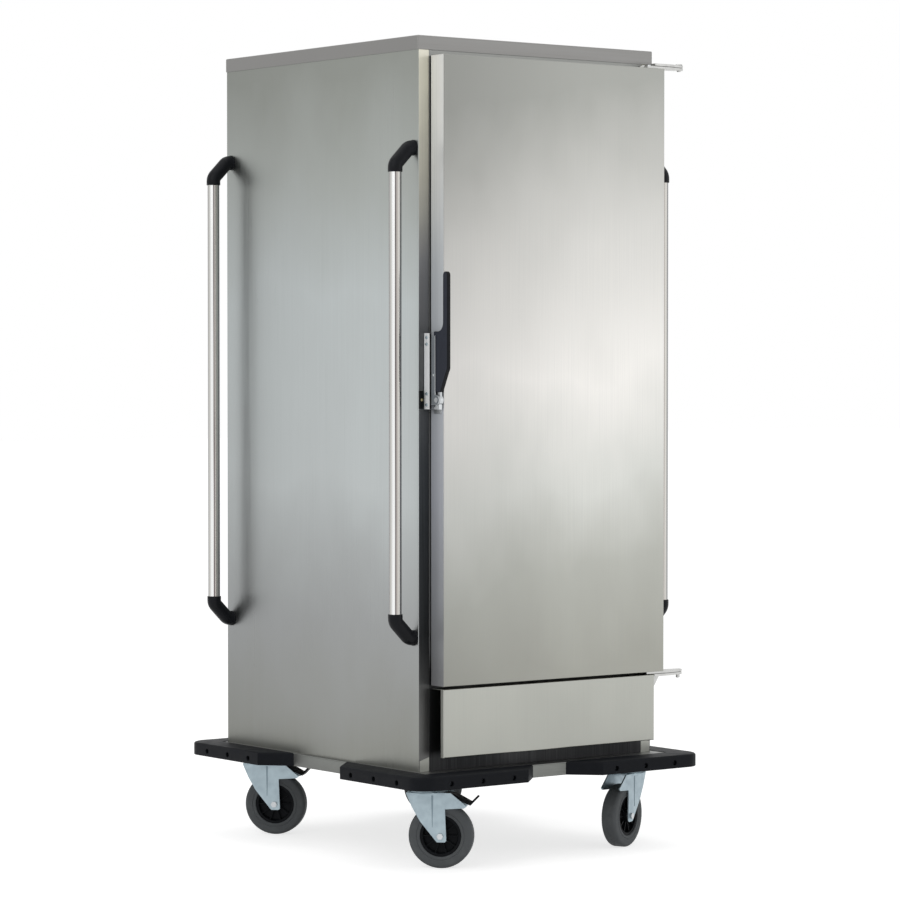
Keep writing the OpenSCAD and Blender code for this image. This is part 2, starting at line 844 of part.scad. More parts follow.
module at_each_bolt() {
    for (caster = casters, sx = [-1, 1], sy = [-1, 1])
        under(caster) translate([sx * bolt_spacing[0] / 2, sy * bolt_spacing[1] / 2, caster_h]) children();
}

module caster_top_plates() {
    ring_r = 22;
    nut_r = 9;
    nut_h = 5;
    color(zinc) difference() {
        for (caster = casters) under(caster) {
            translate([-plate_size[0] / 2, -plate_size[1] / 2, caster_h - plate_t])
                cube([plate_size[0], plate_size[1], plate_t]);
            translate([0, 0, crown_top + cup_h + moving_gap])
                cylinder(r = ring_r, h = caster_h - plate_t - crown_top - cup_h - moving_gap);
            translate([0, 0, crown_top - fork_t - moving_gap])
                cylinder(r = kingpin_r, h = caster_h - plate_t - crown_top + fork_t + moving_gap);
            translate([0, 0, crown_top - fork_t - moving_gap - nut_h]) cylinder(r = nut_r, h = nut_h);
        }
        at_each_bolt() translate([0, 0, -plate_t - 1]) cylinder(r = bolt_hole_r, h = plate_t + 2);
    }
}

module caster_bolts() {
    head_h = 5.5;
    nut_h = 6;
    color(zinc) at_each_bolt() {
        translate([0, 0, -plate_t - head_h]) cylinder(r = 7, h = head_h, $fn = 6);
        translate([0, 0, -plate_t]) cylinder(r = bolt_r, h = plate_t + corner_plate_t + nut_h);
        translate([0, 0, corner_plate_t]) cylinder(r = 7, h = nut_h, $fn = 6);
    }
}

// The pedal's pivot, from the swivel axis and up from the floor.
pedal_pivot = [trail + 24, crown_top - 11.5];
pedal_pin_r = 3;

// Side of a fork: a slanted leading edge, an upright trailing edge and an arm above the wheel.
module fork_side() {
    foot_back = 9;
    foot_front = 12;
    foot_low = 11.5;
    foot_cut = 3;
    knee = [-20, 28];
    shin = [-4.5, 55];
    notch = [9.5, 31.5];
    arm_low = [47, 29];
    arm_tip = [51.5, 25];
    arm_root = 20.5;
    difference() {
        polygon([[-crown_r, crown_top], [-crown_r, crown_top - fork_t], [knee[0], crown_top - knee[1]],
            [shin[0], crown_top - shin[1]],
            [trail - foot_back, wheel_r - foot_low + foot_cut], [trail - foot_back + foot_cut, wheel_r - foot_low],
            [trail + foot_front - foot_cut, wheel_r - foot_low], [trail + foot_front, wheel_r - foot_low + foot_cut],
            [trail + notch[0], crown_top - notch[1]], [trail + arm_low[0], crown_top - arm_low[1]],
            [trail + arm_tip[0], crown_top - arm_tip[1]], [trail + arm_root, crown_top]]);
        translate([trail, wheel_r]) circle(r = axle_r + running);
    }
}

// braked adds the pin that a brake pedal turns on.
module fork(caster, braked) {
    crown_end = trail + 6;
    color(zinc) trailing(caster) {
        for (side = [leg_in, -leg_out])
            translate([0, side, 0]) rotate([90, 0, 0]) mirror([0, 0, 1]) linear_extrude(fork_t) fork_side();
        difference() {
            union() {
                translate([0, 0, crown_top - fork_t]) cylinder(r = crown_r, h = fork_t);
                translate([0, -leg_in, crown_top - fork_t]) cube([crown_end, 2 * leg_in, fork_t]);
                translate([0, 0, crown_top]) cylinder(r = 26, h = cup_h);
            }
            translate([0, 0, crown_top - fork_t - 1]) cylinder(r = kingpin_r + running, h = cup_h + fork_t + 2);
        }
        if (braked)
            translate([pedal_pivot[0], -leg_in, pedal_pivot[1]]) rotate([-90, 0, 0])
                cylinder(r = pedal_pin_r, h = 2 * leg_in);
    }
}

module axle(caster) {
    head_t = 4;
    color(bright) trailing(caster) translate([trail, 0, wheel_r]) rotate([90, 0, 0]) {
        translate([0, 0, -leg_out - 1]) cylinder(r = axle_r, h = 2 * leg_out + 2);
        for (side = [leg_out, -leg_out - head_t])
            translate([0, 0, side]) cylinder(r = 6.5, h = head_t, $fn = 6);
    }
}

module hub(caster) {
    web_t = 10;
    boss_r = 13;
    rim_in = 6;
    color(black) trailing(caster) translate([trail, 0, wheel_r]) rotate([90, 0, 0]) difference() {
        union() {
            cylinder(r = hub_d / 2, h = web_t, center = true);
            difference() {
                cylinder(r = hub_d / 2, h = tyre_w - 4, center = true);
                cylinder(r = hub_d / 2 - rim_in, h = tyre_w, center = true);
            }
            cylinder(r = boss_r, h = 2 * (leg_in - moving_gap), center = true);
        }
        cylinder(r = axle_r + running, h = tyre_w + 6, center = true);
    }
}

module tyre(caster) {
    half = tyre_w / 2;
    color(grey_rubber) trailing(caster) translate([trail, 0, wheel_r]) rotate([90, 0, 0])
        rotate_extrude($fn = 96) union() {
            translate([hub_d / 2, -half]) square([wheel_r - tyre_round - hub_d / 2, tyre_w]);
            translate([hub_d / 2, -half + tyre_round])
                square([wheel_r - hub_d / 2, tyre_w - 2 * tyre_round]);
            for (side = [-half + tyre_round, half - tyre_round])
                translate([wheel_r - tyre_round, side]) circle(r = tyre_round);
        }
}

// A pedal between the fork's arms, on a barrel, with a tab that turns up at its tip.
module brake_pedal(caster) {
    pedal_w = 2 * (leg_in - moving_gap);
    barrel_r = 6;
    heel_l = 13;
    toe_l = 34;
    tab_l = 48;
    pedal_t = 5;
    heel_z = 11;
    toe_drop = 12.5;
    tab_rise = 2;
    tab_t = 3;
    px = pedal_pivot[0];
    pz = pedal_pivot[1];
    color(black) trailing(caster) translate([0, pedal_w / 2, 0]) rotate([90, 0, 0])
        linear_extrude(pedal_w) difference() {
            union() {
                polygon([[px - heel_l, pz + heel_z], [px - heel_l, pz + heel_z - pedal_t],
                    [px, pz + pedal_pin_r], [px + toe_l, pz - toe_drop],
                    [px + tab_l, pz + tab_rise], [px + tab_l - tab_t, pz + tab_rise + 2.5],
                    [px + toe_l - 1, pz - toe_drop + pedal_t], [px + pedal_pin_r, pz + heel_z - 2]]);
                translate([px, pz]) circle(r = barrel_r);
            }
            translate([px, pz]) circle(r = pedal_pin_r + running);
        }
}

module front_left_fork() { fork(front_left, true); }
module front_right_fork() { fork(front_right, false); }
module rear_left_fork() { fork(rear_left, true); }
module rear_right_fork() { fork(rear_right, false); }
module front_left_axle() { axle(front_left); }
module front_right_axle() { axle(front_right); }
module rear_left_axle() { axle(rear_left); }
module rear_right_axle() { axle(rear_right); }
module front_left_hub() { hub(front_left); }
module front_right_hub() { hub(front_right); }
module rear_left_hub() { hub(rear_left); }
module rear_right_hub() { hub(rear_right); }
module front_left_tyre() { tyre(front_left); }
module front_right_tyre() { tyre(front_right); }
module rear_left_tyre() { tyre(rear_left); }
module rear_right_tyre() { tyre(rear_right); }
module front_left_brake_pedal() { brake_pedal(front_left); }
module rear_left_brake_pedal() { brake_pedal(rear_left); }

// ---------------------------------------------------------------- nodes

base_frame();
deck_plate();
left_side_panel();
right_side_panel();
rear_panel();
top_cover();
front_frame();
lower_front_panel();
compartment_floor();
rail_uprights();
left_tray_rails();
right_tray_rails();
caster_top_plates();
caster_bolts();
left_handle_tubes();
right_handle_tubes();
left_handle_elbows();
right_handle_elbows();
front_left_bumper();
front_right_bumper();
rear_left_bumper();
rear_right_bumper();
bumper_screws();
upper_hinge_bracket();
lower_hinge_bracket();
hinge_pins();
latch_bracket();
latch_screws();
latch_pivot();
lock_block();
lock_bolt();
door_skin();
door_liner();
door_core();
door_gasket();
upper_hinge_arm();
lower_hinge_arm();
latch_keeper();
latch_lever();
latch_grip();
latch_hook();
front_left_fork();
front_right_fork();
rear_left_fork();
rear_right_fork();
front_left_axle();
front_right_axle();
rear_left_axle();
rear_right_axle();
front_left_hub();
front_right_hub();
rear_left_hub();
rear_right_hub();
front_left_tyre();
front_right_tyre();
rear_left_tyre();
rear_right_tyre();
front_left_brake_pedal();
rear_left_brake_pedal();
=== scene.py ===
"""Looks of an enclosed meal tray cart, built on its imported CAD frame.

A stainless cabinet with one full-height door stands on a base frame with plastic corner
bumpers and four swivel casters. Sizes are in millimetres, and the finished pieces are in
metres in the CAD's own frame.
"""

from __future__ import annotations

import logging
import math
from dataclasses import dataclass, field
from enum import Enum
from typing import Any, Callable, Iterable, Sequence

import bmesh
import bpy
from mathutils import Matrix, Vector

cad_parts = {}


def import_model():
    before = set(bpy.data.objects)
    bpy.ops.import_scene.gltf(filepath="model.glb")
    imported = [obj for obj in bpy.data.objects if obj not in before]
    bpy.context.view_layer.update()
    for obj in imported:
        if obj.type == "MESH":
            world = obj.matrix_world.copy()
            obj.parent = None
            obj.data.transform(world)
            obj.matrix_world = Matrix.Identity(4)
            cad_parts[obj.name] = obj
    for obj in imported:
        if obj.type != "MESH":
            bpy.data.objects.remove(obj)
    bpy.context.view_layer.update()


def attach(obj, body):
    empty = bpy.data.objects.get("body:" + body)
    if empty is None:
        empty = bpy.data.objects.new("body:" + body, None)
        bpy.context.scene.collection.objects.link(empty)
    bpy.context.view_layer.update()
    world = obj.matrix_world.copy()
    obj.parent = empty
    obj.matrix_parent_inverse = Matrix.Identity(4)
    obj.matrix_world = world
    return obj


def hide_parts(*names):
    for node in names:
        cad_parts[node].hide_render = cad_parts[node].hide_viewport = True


log = logging.getLogger("tray_cart")

MM = 0.001
LEFT_X, FRONT_Y, DECK_Z = -290.0, -312.5, 187.0
BODY_W, BODY_D = 580.0, 658.0
BASE_SIDE, BASE_FRONT, BASE_BACK = -11.0, 38.0, -663.0

# Edges sharper than SHARP are broken, and faces that meet at less than SMOOTH shade as one.
SHARP, SMOOTH = math.radians(30), math.radians(32)
# What counts as the same place, in metres, and as along or square to a direction.
NEAR, ALONG, SQUARE = 2e-4, 0.99, 0.01

Tree, Node, Socket = bpy.types.NodeTree, bpy.types.Node, bpy.types.NodeSocket
Object, Mesh, Material = bpy.types.Object, bpy.types.Mesh, bpy.types.Material
BMesh = bmesh.types.BMesh
Point2 = tuple[float, float]
Place3 = tuple[float, float, float]
EdgeTest = Callable[[Vector, Vector], bool]
FaceTest = Callable[[Vector, Vector], bool]
Tones = tuple[tuple[float, str], ...]


# ---------------------------------------------------------------- places


def at(x: float, f: float, z: float) -> Vector:
    """A place on the cabinet.

    Args:
        x: Millimetres from the cabinet's left side.
        f: Millimetres forward of its front plane.
        z: Millimetres above the deck.

    Returns:
        The place in the CAD's frame, in metres.
    """
    return Vector(((LEFT_X + x) * MM, (FRONT_Y - f) * MM, (DECK_Z + z) * MM))


def cabinet_frame(x: float = 0.0, f: float = 0.0, z: float = 0.0) -> Matrix:
    """A frame at a cabinet place, in metres, with its axes along the CAD's."""
    return Matrix.Translation(at(x, f, z))


def mirrored(place: Vector, side: int) -> Vector:
    """The place itself for side 1, or its mirror image at the other side for side -1."""
    return Vector((place.x * side, place.y, place.z))


# ---------------------------------------------------------------- meshes


def new_object(bm: BMesh, name: str, recalc: bool = False) -> Object:
    """Turns a bmesh into an object at the origin.

    Args:
        bm: The mesh, in metres and in place. It is freed.
        name: The object's name.
        recalc: Whether the faces still have to be turned outwards.

    Returns:
        The new object, smooth where its faces meet at small angles.
    """
    bmesh.ops.remove_doubles(bm, verts=bm.verts, dist=1e-6)
    if recalc:
        bmesh.ops.recalc_face_normals(bm, faces=bm.faces)
    mesh = bpy.data.meshes.new(name)
    bm.to_mesh(mesh)
    bm.free()
    mesh.shade_smooth()
    mesh.set_sharp_from_angle(angle=SMOOTH)
    obj = bpy.data.objects.new(name, mesh)
    bpy.context.scene.collection.objects.link(obj)
    return obj


def settled(obj: Object) -> Object:
    """Applies an object's modifiers.

    Args:
        obj: The object with its modifiers.

    Returns:
        The same object with a plain mesh and no modifiers.
    """
    bpy.context.view_layer.update()
    graph = bpy.context.evaluated_depsgraph_get()
    mesh = bpy.data.meshes.new_from_object(obj.evaluated_get(graph))
    obj.modifiers.clear()
    old = obj.data
    obj.data = mesh
    bpy.data.meshes.remove(old)
    return obj


def eased(obj: Object, edge: float, rounds: Iterable[tuple[float, EdgeTest]] = (),
          segments: int = 2) -> Object:
    """Breaks the sharp edges of a piece, as deburring and bending do.

    Args:
        obj: The piece, in place.
        edge: Radius of a plain edge, in millimetres.
        rounds: Larger radii, each with a test of an edge's middle and direction.
        segments: Faces across each round.

    Returns:
        The piece with a plain mesh and its flat faces still flat to the light.
    """
    rounds = list(rounds)
    widest = max([edge] + [r for r, _ in rounds])
    bm = bmesh.new()
    bm.from_mesh(obj.data)
    layer = bm.edges.layers.float.new("bevel_weight_edge")
    for e in bm.edges:
        if len(e.link_faces) != 2 or e.calc_face_angle(0.0) < SHARP:
            continue
        middle = (e.verts[0].co + e.verts[1].co) / 2
        way = (e.verts[1].co - e.verts[0].co).normalized()
        radius = next((r for r, test in rounds if test(middle, way)), edge)
        e[layer] = radius / widest
    bm.to_mesh(obj.data)
    bm.free()
    obj.data.shade_smooth()
    bevel = obj.modifiers.new("eased_edges", "BEVEL")
    bevel.limit_method = "WEIGHT"
    bevel.width = widest * MM
    bevel.segments = segments
    bevel.harden_normals = True
    bevel.use_clamp_overlap = True
    return settled(obj)


def cad_copy(node: str, name: str) -> Object:
    """A copy of a CAD node's mesh with its triangles joined into whole faces.

    Args:
        node: The CAD node.
        name: The copy's name.

    Returns:
        The copy, in place.
    """
    bm = bmesh.new()
    bm.from_mesh(bpy.data.objects[node].data)
    bmesh.ops.remove_doubles(bm, verts=bm.verts, dist=2e-6)
    bmesh.ops.dissolve_limit(bm, angle_limit=math.radians(1), verts=bm.verts, edges=bm.edges)
    return new_object(bm, name)


def skin(bm: BMesh, rings: Sequence[Sequence[Vector]], capped: bool = True,
         looped: bool = False) -> None:
    """Adds a skin through closed rings that all have the same number of points.

    Args:
        bm: The mesh to add to.
        rings: The rings, in order.
        capped: Whether the first and last rings are closed with a face.
        looped: Whether the last ring joins the first one.
    """
    made = [[bm.verts.new(p) for p in ring] for ring in rings]
    n = len(made[0])
    pairs = list(zip(made, made[1:])) + ([(made[-1], made[0])] if looped else [])
    for a, b in pairs:
        for i in range(n):
            k = (i + 1) % n
            bm.faces.new((a[i], a[k], b[k], b[i]))
    if capped and not looped:
        bm.faces.new(list(reversed(made[0])))
        bm.faces.new(made[-1])


def turned(bm: BMesh, profile: Sequence[Point2], frame: Matrix, sides: int = 48,
           looped: bool = False) -> None:
    """Adds a turned form round a frame's Z axis.

    Args:
        bm: The mesh to add to.
        profile: Radius and height of each ring, in millimetres.
        frame: Where the axis stands, in metres.
        sides: Points round each ring.
        looped: Whether the profile closes on itself, as round a bore.
    """
    rings = []
    for r, h in profile:
        r = max(r, 0.01)
        rings.append([frame @ Vector((r * math.cos(a) * MM, r * math.sin(a) * MM, h * MM))
                      for a in (2 * math.pi * i / sides for i in range(sides))])
    skin(bm, rings, capped=not looped, looped=looped)


def slab(bm: BMesh, outline: Sequence[Point2], low: float, high: float,
         place: Callable[[float, float, float], Vector]) -> None:
    """Adds a flat outline with a thickness.

    Args:
        bm: The mesh to add to.
        outline: Its points, in millimetres.
        low: Where the thickness starts, in millimetres.
        high: Where it ends, in millimetres.
        place: Turns an outline point and a height into a place in metres.
    """
    skin(bm, [[place(u, v, w) for u, v in outline] for w in (low, high)])


def arc(cx: float, cy: float, r: float, start: float, end: float, steps: int) -> list[Point2]:
    """Points along an arc.

    Args:
        cx: Its centre along the first axis.
        cy: Its centre along the second axis.
        r: Its radius.
        start: First angle, in degrees.
        end: Last angle, in degrees.
        steps: Number of spans.

    Returns:
        The points, both ends included.
    """
    return [(cx + r * math.cos(math.radians(start + (end - start) * i / steps)),
             cy + r * math.sin(math.radians(start + (end - start) * i / steps)))
            for i in range(steps + 1)]


def along_y(frame: Matrix) -> Matrix:
    """The frame with its Z axis turned to point along its old Y axis."""
    return frame @ Matrix.Rotation(math.radians(-90), 4, "X")


# ---------------------------------------------------------------- node trees


def add(tree: Tree, kind: str, inputs: dict[Any, Any] | None = None,
        **settings: Any) -> Node:
    """Adds a node.

    Args:
        tree: The tree that it goes in.
        kind: Its type.
        inputs: What each input takes: a value, or the output socket that feeds it.
        settings: The node's own properties.

    Returns:
        The node.
    """
    node = tree.nodes.new(kind)
    for name, value in settings.items():
        setattr(node, name, value)
    for key, value in (inputs or {}).items():
        if isinstance(value, Socket):
            tree.links.new(value, node.inputs[key])
        else:
            node.inputs[key].default_value = value
    return node


def worked(tree: Tree, operation: str, *values: Any) -> Socket:
    """The result of a Math node on two or three numbers or sockets."""
    return add(tree, "ShaderNodeMath", dict(enumerate(values)), operation=operation).outputs[0]


def linear(colour: str) -> tuple[float, float, float, float]:
    """Turns an sRGB hex colour to linear.

    Args:
        colour: Six hex digits after a #.

    Returns:
        Linear red, green and blue with an alpha of 1.
    """
    parts = [int(colour[i:i + 2], 16) / 255 for i in (1, 3, 5)]
    r, g, b = (c / 12.92 if c <= 0.04045 else ((c + 0.055) / 1.055) ** 2.4 for c in parts)
    return (r, g, b, 1.0)


def ramp(node: Node, stops: Sequence[tuple[float, str]]) -> Node:
    """Sets a colour ramp's stops.

    Args:
        node: The ramp.
        stops: Place and sRGB hex colour of each stop, in order.

    Returns:
        The same ramp.
    """
    elements = node.color_ramp.elements
    while len(elements) < len(stops):
        elements.new(0.5)
    for element, (place, colour) in zip(elements, stops):
        element.position = place
        element.color = linear(colour)
    return node


class Grain(Enum):
    """Which way the lines of a brushed or drawn surface run."""

    UPRIGHT = "upright"
    ACROSS = "across"

    def scale(self, width: float, length: float) -> Place3:
        """Pattern scale on Object coordinates for lines of that width and length.

        Args:
            width: Width of one line, in millimetres.
            length: Length of one line, in millimetres.

        Returns:
            The Mapping node's scale.
        """
        fine, long = 1 / (width * MM), 1 / (length * MM)
        return (fine, fine, long) if self is Grain.UPRIGHT else (long, fine, fine)


@dataclass(frozen=True)
class Finish:
    """What every finish has: a name and the record's slot that it belongs to."""

    name: str
    slot: str

    def material(self) -> Material:
        """Builds the material, or finds the one already built under the same name."""
        found = bpy.data.materials.get(self.name)
        if found:
            return found
        made = bpy.data.materials.new(self.name)
        made.use_nodes = True
        made.node_tree.nodes.clear()
        shader = self.shade(made.node_tree)
        add(made.node_tree, "ShaderNodeOutputMaterial", {"Surface": shader.outputs[0]})
        return made

    def shade(self, tree: Tree) -> Node:
        """Builds the surface's nodes in tree and returns its last shader."""
        raise NotImplementedError


def noise(tree: Tree, scale: Place3, detail: float = 2.0,
          offset: Place3 = (0.0, 0.0, 0.0)) -> Socket:
    """Noise on Object coordinates.

    Args:
        tree: The material's tree.
        scale: Features per metre along each axis.
        detail: How much fine noise lies on the coarse.
        offset: Where the pattern starts.

    Returns:
        The noise, about 0.5 in the mean.
    """
    where = add(tree, "ShaderNodeTexCoord").outputs["Object"]
    placed = add(tree, "ShaderNodeMapping", {"Vector": where, "Location": offset, "Scale": scale})
    return add(tree, "ShaderNodeTexNoise", {"Vector": placed.outputs[0], "Scale": 1.0,
                                            "Detail": detail}).outputs[0]


def spread(tree: Tree, value: Socket, low: float, high: float,
           start: float = 0.3, end: float = 0.7, smooth: bool = False) -> Socket:
    """Maps a value from one range to another.

    Args:
        tree: The tree.
        value: What is mapped.
        low: Result at start.
        high: Result at end.
        start: Lower end of the value's range.
        end: Upper end of the value's range.
        smooth: Whether it eases in and out.

    Returns:
        The mapped value.
    """
    kind = "SMOOTHSTEP" if smooth else "LINEAR"
    return add(tree, "ShaderNodeMapRange", {
        "Value": value, "From Min": start, "From Max": end, "To Min": low, "To Max": high},
        interpolation_type=kind).outputs[0]


def toned(tree: Tree, value: Socket, tones: Tones) -> Socket:
    """Colours by a value.

    Args:
        tree: The tree.
        value: What chooses the colour.
        tones: Value and sRGB hex colour of each tone, from low to high.

    Returns:
        The colour.
    """
    low, high = tones[0][0], tones[-1][0]
    level = spread(tree, value, 0.0, 1.0, low, high)
    return ramp(add(tree, "ShaderNodeValToRGB", {0: level}),
                [((place - low) / (high - low), colour) for place, colour in tones]).outputs[0]


def tinted(tree: Tree, colour: Any, dark: str, amount: Socket) -> Socket:
    """Mixes a colour towards another by an amount.

    Args:
        tree: The tree.
        colour: The first colour, as a socket or a linear value.
        dark: The second colour, in sRGB hex.
        amount: How much of the second.

    Returns:
        The mixed colour.
    """
    mix = add(tree, "ShaderNodeMix", {0: amount, 6: colour, 7: linear(dark)}, data_type="RGBA")
    return mix.outputs[2]


def surface(tree: Tree, colour: Any, rough: Any, metal: float = 0.0,
            bump: tuple[Socket, float, float] | None = None,
            specular: float = 0.5) -> Node:
    """Adds the shader that a finish ends with.

    Args:
        tree: The tree.
        colour: Its colour, as a socket or a linear value.
        rough: Its roughness, as a socket or a value.
        metal: How metallic it is.
        bump: Height, strength and distance in metres of its bump, if it has one.
        specular: How much a surface that isn't metal mirrors.

    Returns:
        The shader.
    """
    inputs = {"Base Color": colour, "Metallic": metal, "Roughness": rough,
              "Specular IOR Level": specular}
    if bump:
        names = ("Height", "Strength", "Distance")
        inputs["Normal"] = add(tree, "ShaderNodeBump", dict(zip(names, bump))).outputs[0]
    return add(tree, "ShaderNodeBsdfPrincipled", inputs)


@dataclass(frozen=True)
class BrushedStainless(Finish):
    """Type 304 sheet, belt brushed one way: a soft satin that smears what it mirrors.

    The tones are painted light and shade: they stand for what the sheet would mirror at each
    height in metres, as satin steel does between a floor and a ceiling, and climb is how far
    they rise per metre to the right. Painted shade darkens the far end: dim holds an axis,
    where it starts, where it ends and how much. Real brushing has 0.1 mm lines: they are
    drawn 1.7 mm wide, as coarse as they need to be to show at all.
    """

    tones: Tones = ((0.2, "#a5a29b"), (0.9, "#b4b8bb"), (1.58, "#a4a59e"))
    climb: float = 0.0
    dim: tuple[int, float, float, float] | None = None
    roughness: float = 0.34
    metal: float = 1.0
    grain: Grain = Grain.UPRIGHT
    line: float = 1.7
    stroke: float = 260.0

    def shade(self, tree: Tree) -> Node:
        """Builds satin steel with brushed lines, cloudy wear, painted reflections by height and
        painted shade towards one end.
        """
        lines = noise(tree, self.grain.scale(self.line, self.stroke), 3.0)
        cloud = noise(tree, (5.0, 5.0, 3.0), 3.0, (3.1, 0.4, 7.7))
        where = add(tree, "ShaderNodeTexCoord").outputs["Object"]
        along = add(tree, "ShaderNodeSeparateXYZ", {0: where}).outputs
        wavy = worked(tree, "ADD", along["Z"], spread(tree, cloud, -0.05, 0.05))
        level = worked(tree, "MULTIPLY_ADD", along["X"], -self.climb, wavy)
        # Painted reflection: tones by height, raised to the right by climb.
        shaded = toned(tree, level, self.tones)
        # Painted shade: a dark tint that grows towards one end along the dim axis.
        if self.dim:
            axis, start, end, amount = self.dim
            shaded = tinted(tree, shaded, "#333435",
                            spread(tree, along[axis], 0.0, amount, start, end, smooth=True))
        shaded = tinted(tree, shaded, "#7f8183", spread(tree, lines, 0.16, 0.0, 0.25, 0.75))
        shaded = tinted(tree, shaded, "#8b8c8a", spread(tree, cloud, 0.10, 0.0, 0.3, 0.6))
        rough = worked(tree, "ADD",
                       spread(tree, lines, self.roughness - 0.05, self.roughness + 0.06),
                       spread(tree, cloud, -0.03, 0.03))
        return surface(tree, shaded, rough, self.metal, (lines, 0.08, 0.0003), 0.2)


@dataclass(frozen=True)
class PolishedMetal(Finish):
    """Polished or bright plated metal: it mirrors in sharp bands, with faint handling marks."""

    colour: str = "#d9dadb"
    shade_colour: str = "#a3a6aa"
    roughness: float = 0.12
    grain: Grain = Grain.UPRIGHT

    def shade(self, tree: Tree) -> Node:
        """Builds a bright metal with drawing lines and smudges."""
        lines = noise(tree, self.grain.scale(1.2, 160.0), 2.0)
        smudge = noise(tree, (60.0, 60.0, 24.0), 4.0, (1.3, 5.2, 0.7))
        colour = tinted(tree, linear(self.colour), self.shade_colour,
                        spread(tree, smudge, 0.0, 0.35, 0.45, 0.75))
        rough = worked(tree, "ADD",
                       spread(tree, lines, self.roughness - 0.03, self.roughness + 0.03),
                       spread(tree, smudge, 0.0, 0.07, 0.45, 0.75))
        return surface(tree, colour, rough, 1.0, (lines, 0.04, 0.0002))


@dataclass(frozen=True)
class PolishedTube(Finish):
    """A polished round tube: its curve squeezes the room into upright light and dark bands.

    The bands are painted reflections, chosen by which way the surface faces, from -1 to 1 along a
    level direction across the camera's view.
    """

    bands: Tones = ((-1.0, "#85878a"), (-0.8, "#b3b1ad"), (-0.55, "#cfcfcc"), (-0.35, "#eceded"),
                    (-0.02, "#e4e4e2"), (0.04, "#54494a"), (0.14, "#5c5254"), (0.22, "#b5b0ab"),
                    (0.62, "#c5c3be"), (0.86, "#8d8e8f"), (1.0, "#606266"))
    across: Place3 = (0.797, -0.604, 0.0)

    def shade(self, tree: Tree) -> Node:
        """Builds the painted reflection bands with faint drawing lines."""
        facing = add(tree, "ShaderNodeTexCoord").outputs["Normal"]
        turn = add(tree, "ShaderNodeVectorMath", {0: facing, 1: self.across},
                   operation="DOT_PRODUCT").outputs["Value"]
        lines = noise(tree, Grain.UPRIGHT.scale(1.2, 300.0), 2.0)
        wavy = worked(tree, "ADD", turn, spread(tree, lines, -0.03, 0.03))
        return surface(tree, toned(tree, wavy, self.bands), spread(tree, lines, 0.2, 0.27), 1.0)


@dataclass(frozen=True)
class ZincPlated(Finish):
    """Blue-passivated zinc on pressed steel: pale, cloudy and only half bright."""

    colour: str = "#a6b5bc"
    cloud: str = "#8795a0"
    roughness: float = 0.4
    metal: float = 0.9

    def shade(self, tree: Tree) -> Node:
        """Builds plated steel with a cloud of about 14 mm and a fine 0.8 mm grain."""
        cloud = noise(tree, (70.0, 70.0, 70.0), 4.0)
        grain = noise(tree, (1250.0, 1250.0, 1250.0), 2.0)
        colour = tinted(tree, linear(self.colour), self.cloud, spread(tree, cloud, 0.3, 0.0))
        rough = spread(tree, cloud, self.roughness + 0.08, self.roughness - 0.06)
        return surface(tree, colour, rough, self.metal, (grain, 0.08, 0.0002))


@dataclass(frozen=True)
class MouldedPlastic(Finish):
    """Moulded plastic or rubber: its spark-eroded grain breaks the gloss into a soft sheen."""

    colour: str = "#0f1114"
    worn: str = "#1b1d22"
    roughness: float = 0.5
    grain_mm: float = 0.9
    depth: float = 0.18
    specular: float = 0.09

    def shade(self, tree: Tree) -> Node:
        """Builds the grain and the paler scuffs of about 20 mm that handling leaves."""
        per_metre = 1 / (self.grain_mm * MM)
        grain = noise(tree, (per_metre,) * 3, 2.0)
        scuff = noise(tree, (50.0, 50.0, 50.0), 5.0, (2.0, 9.1, 4.4))
        colour = tinted(tree, linear(self.colour), self.worn,
                        spread(tree, scuff, 0.0, 0.6, 0.5, 0.78))
        rough = spread(tree, scuff, self.roughness, self.roughness + 0.12, 0.4, 0.75)
        return surface(tree, colour, rough, 0.0, (grain, self.depth, 0.0004), self.specular)


@dataclass(frozen=True)
class CastFoam(Finish):
    """Polyurethane foam as it is poured in a door: dull cream with 1.5 mm cells."""

    colour: str = "#d9cfae"
    pit_shade: str = "#a99b72"

    def shade(self, tree: Tree) -> Node:
        """Builds open cells in a dull cream, with painted shade darkening each cell's pit."""
        where = add(tree, "ShaderNodeTexCoord").outputs["Object"]
        cells = add(tree, "ShaderNodeTexVoronoi",
                    {"Vector": where, "Scale": 660.0}).outputs["Distance"]
        # Painted shade: darker towards each cell's centre, in its pit.
        colour = tinted(tree, linear(self.colour), self.pit_shade,
                        spread(tree, cells, 0.7, 0.0, 0.1, 0.6))
        return surface(tree, colour, 0.9, 0.0, (cells, 0.4, 0.0006))


# Painted light and shade: the side sheet's tones by height stand for what it mirrors, and painted
# shade darkens it towards the back.
SIDE_SHEET = BrushedStainless(
    "stainless_side_sheet", "stainless_skin", dim=(1, -0.22, 0.46, 0.16),
    tones=((0.2, "#878882"), (0.42, "#999b9b"), (0.75, "#bbc0c0"), (1.1, "#bdc3c3"),
           (1.35, "#a6aaa6"), (1.55, "#91948e")))
# Painted shade and reflection: the posts' front faces are near black from low down to mid-height,
# where they lie in shade, and pale at the top.
POST_SHEET = BrushedStainless(
    "stainless_post_painted_shade_and_light", "stainless_skin", roughness=0.4,
    tones=((0.25, "#6a6a69"), (0.45, "#262829"), (0.8, "#404345"), (1.18, "#868586"),
           (1.36, "#bfbcb0"), (1.5, "#dfdccd")))
# Painted light and shade: the door's tones by height stand for what it mirrors, a painted highlight
# band climbs to the right, and painted shade darkens its left part.
DOOR_SHEET = BrushedStainless(
    "stainless_door_sheet", "stainless_skin", roughness=0.38, climb=0.1, dim=(0, 0.15, -0.35, 0.28),
    tones=((0.36, "#9f9f97"), (0.55, "#b0b1aa"), (0.72, "#cfd0cb"), (0.95, "#e6e4e0"),
           (1.18, "#cecdc9"), (1.5, "#a2a39e")))
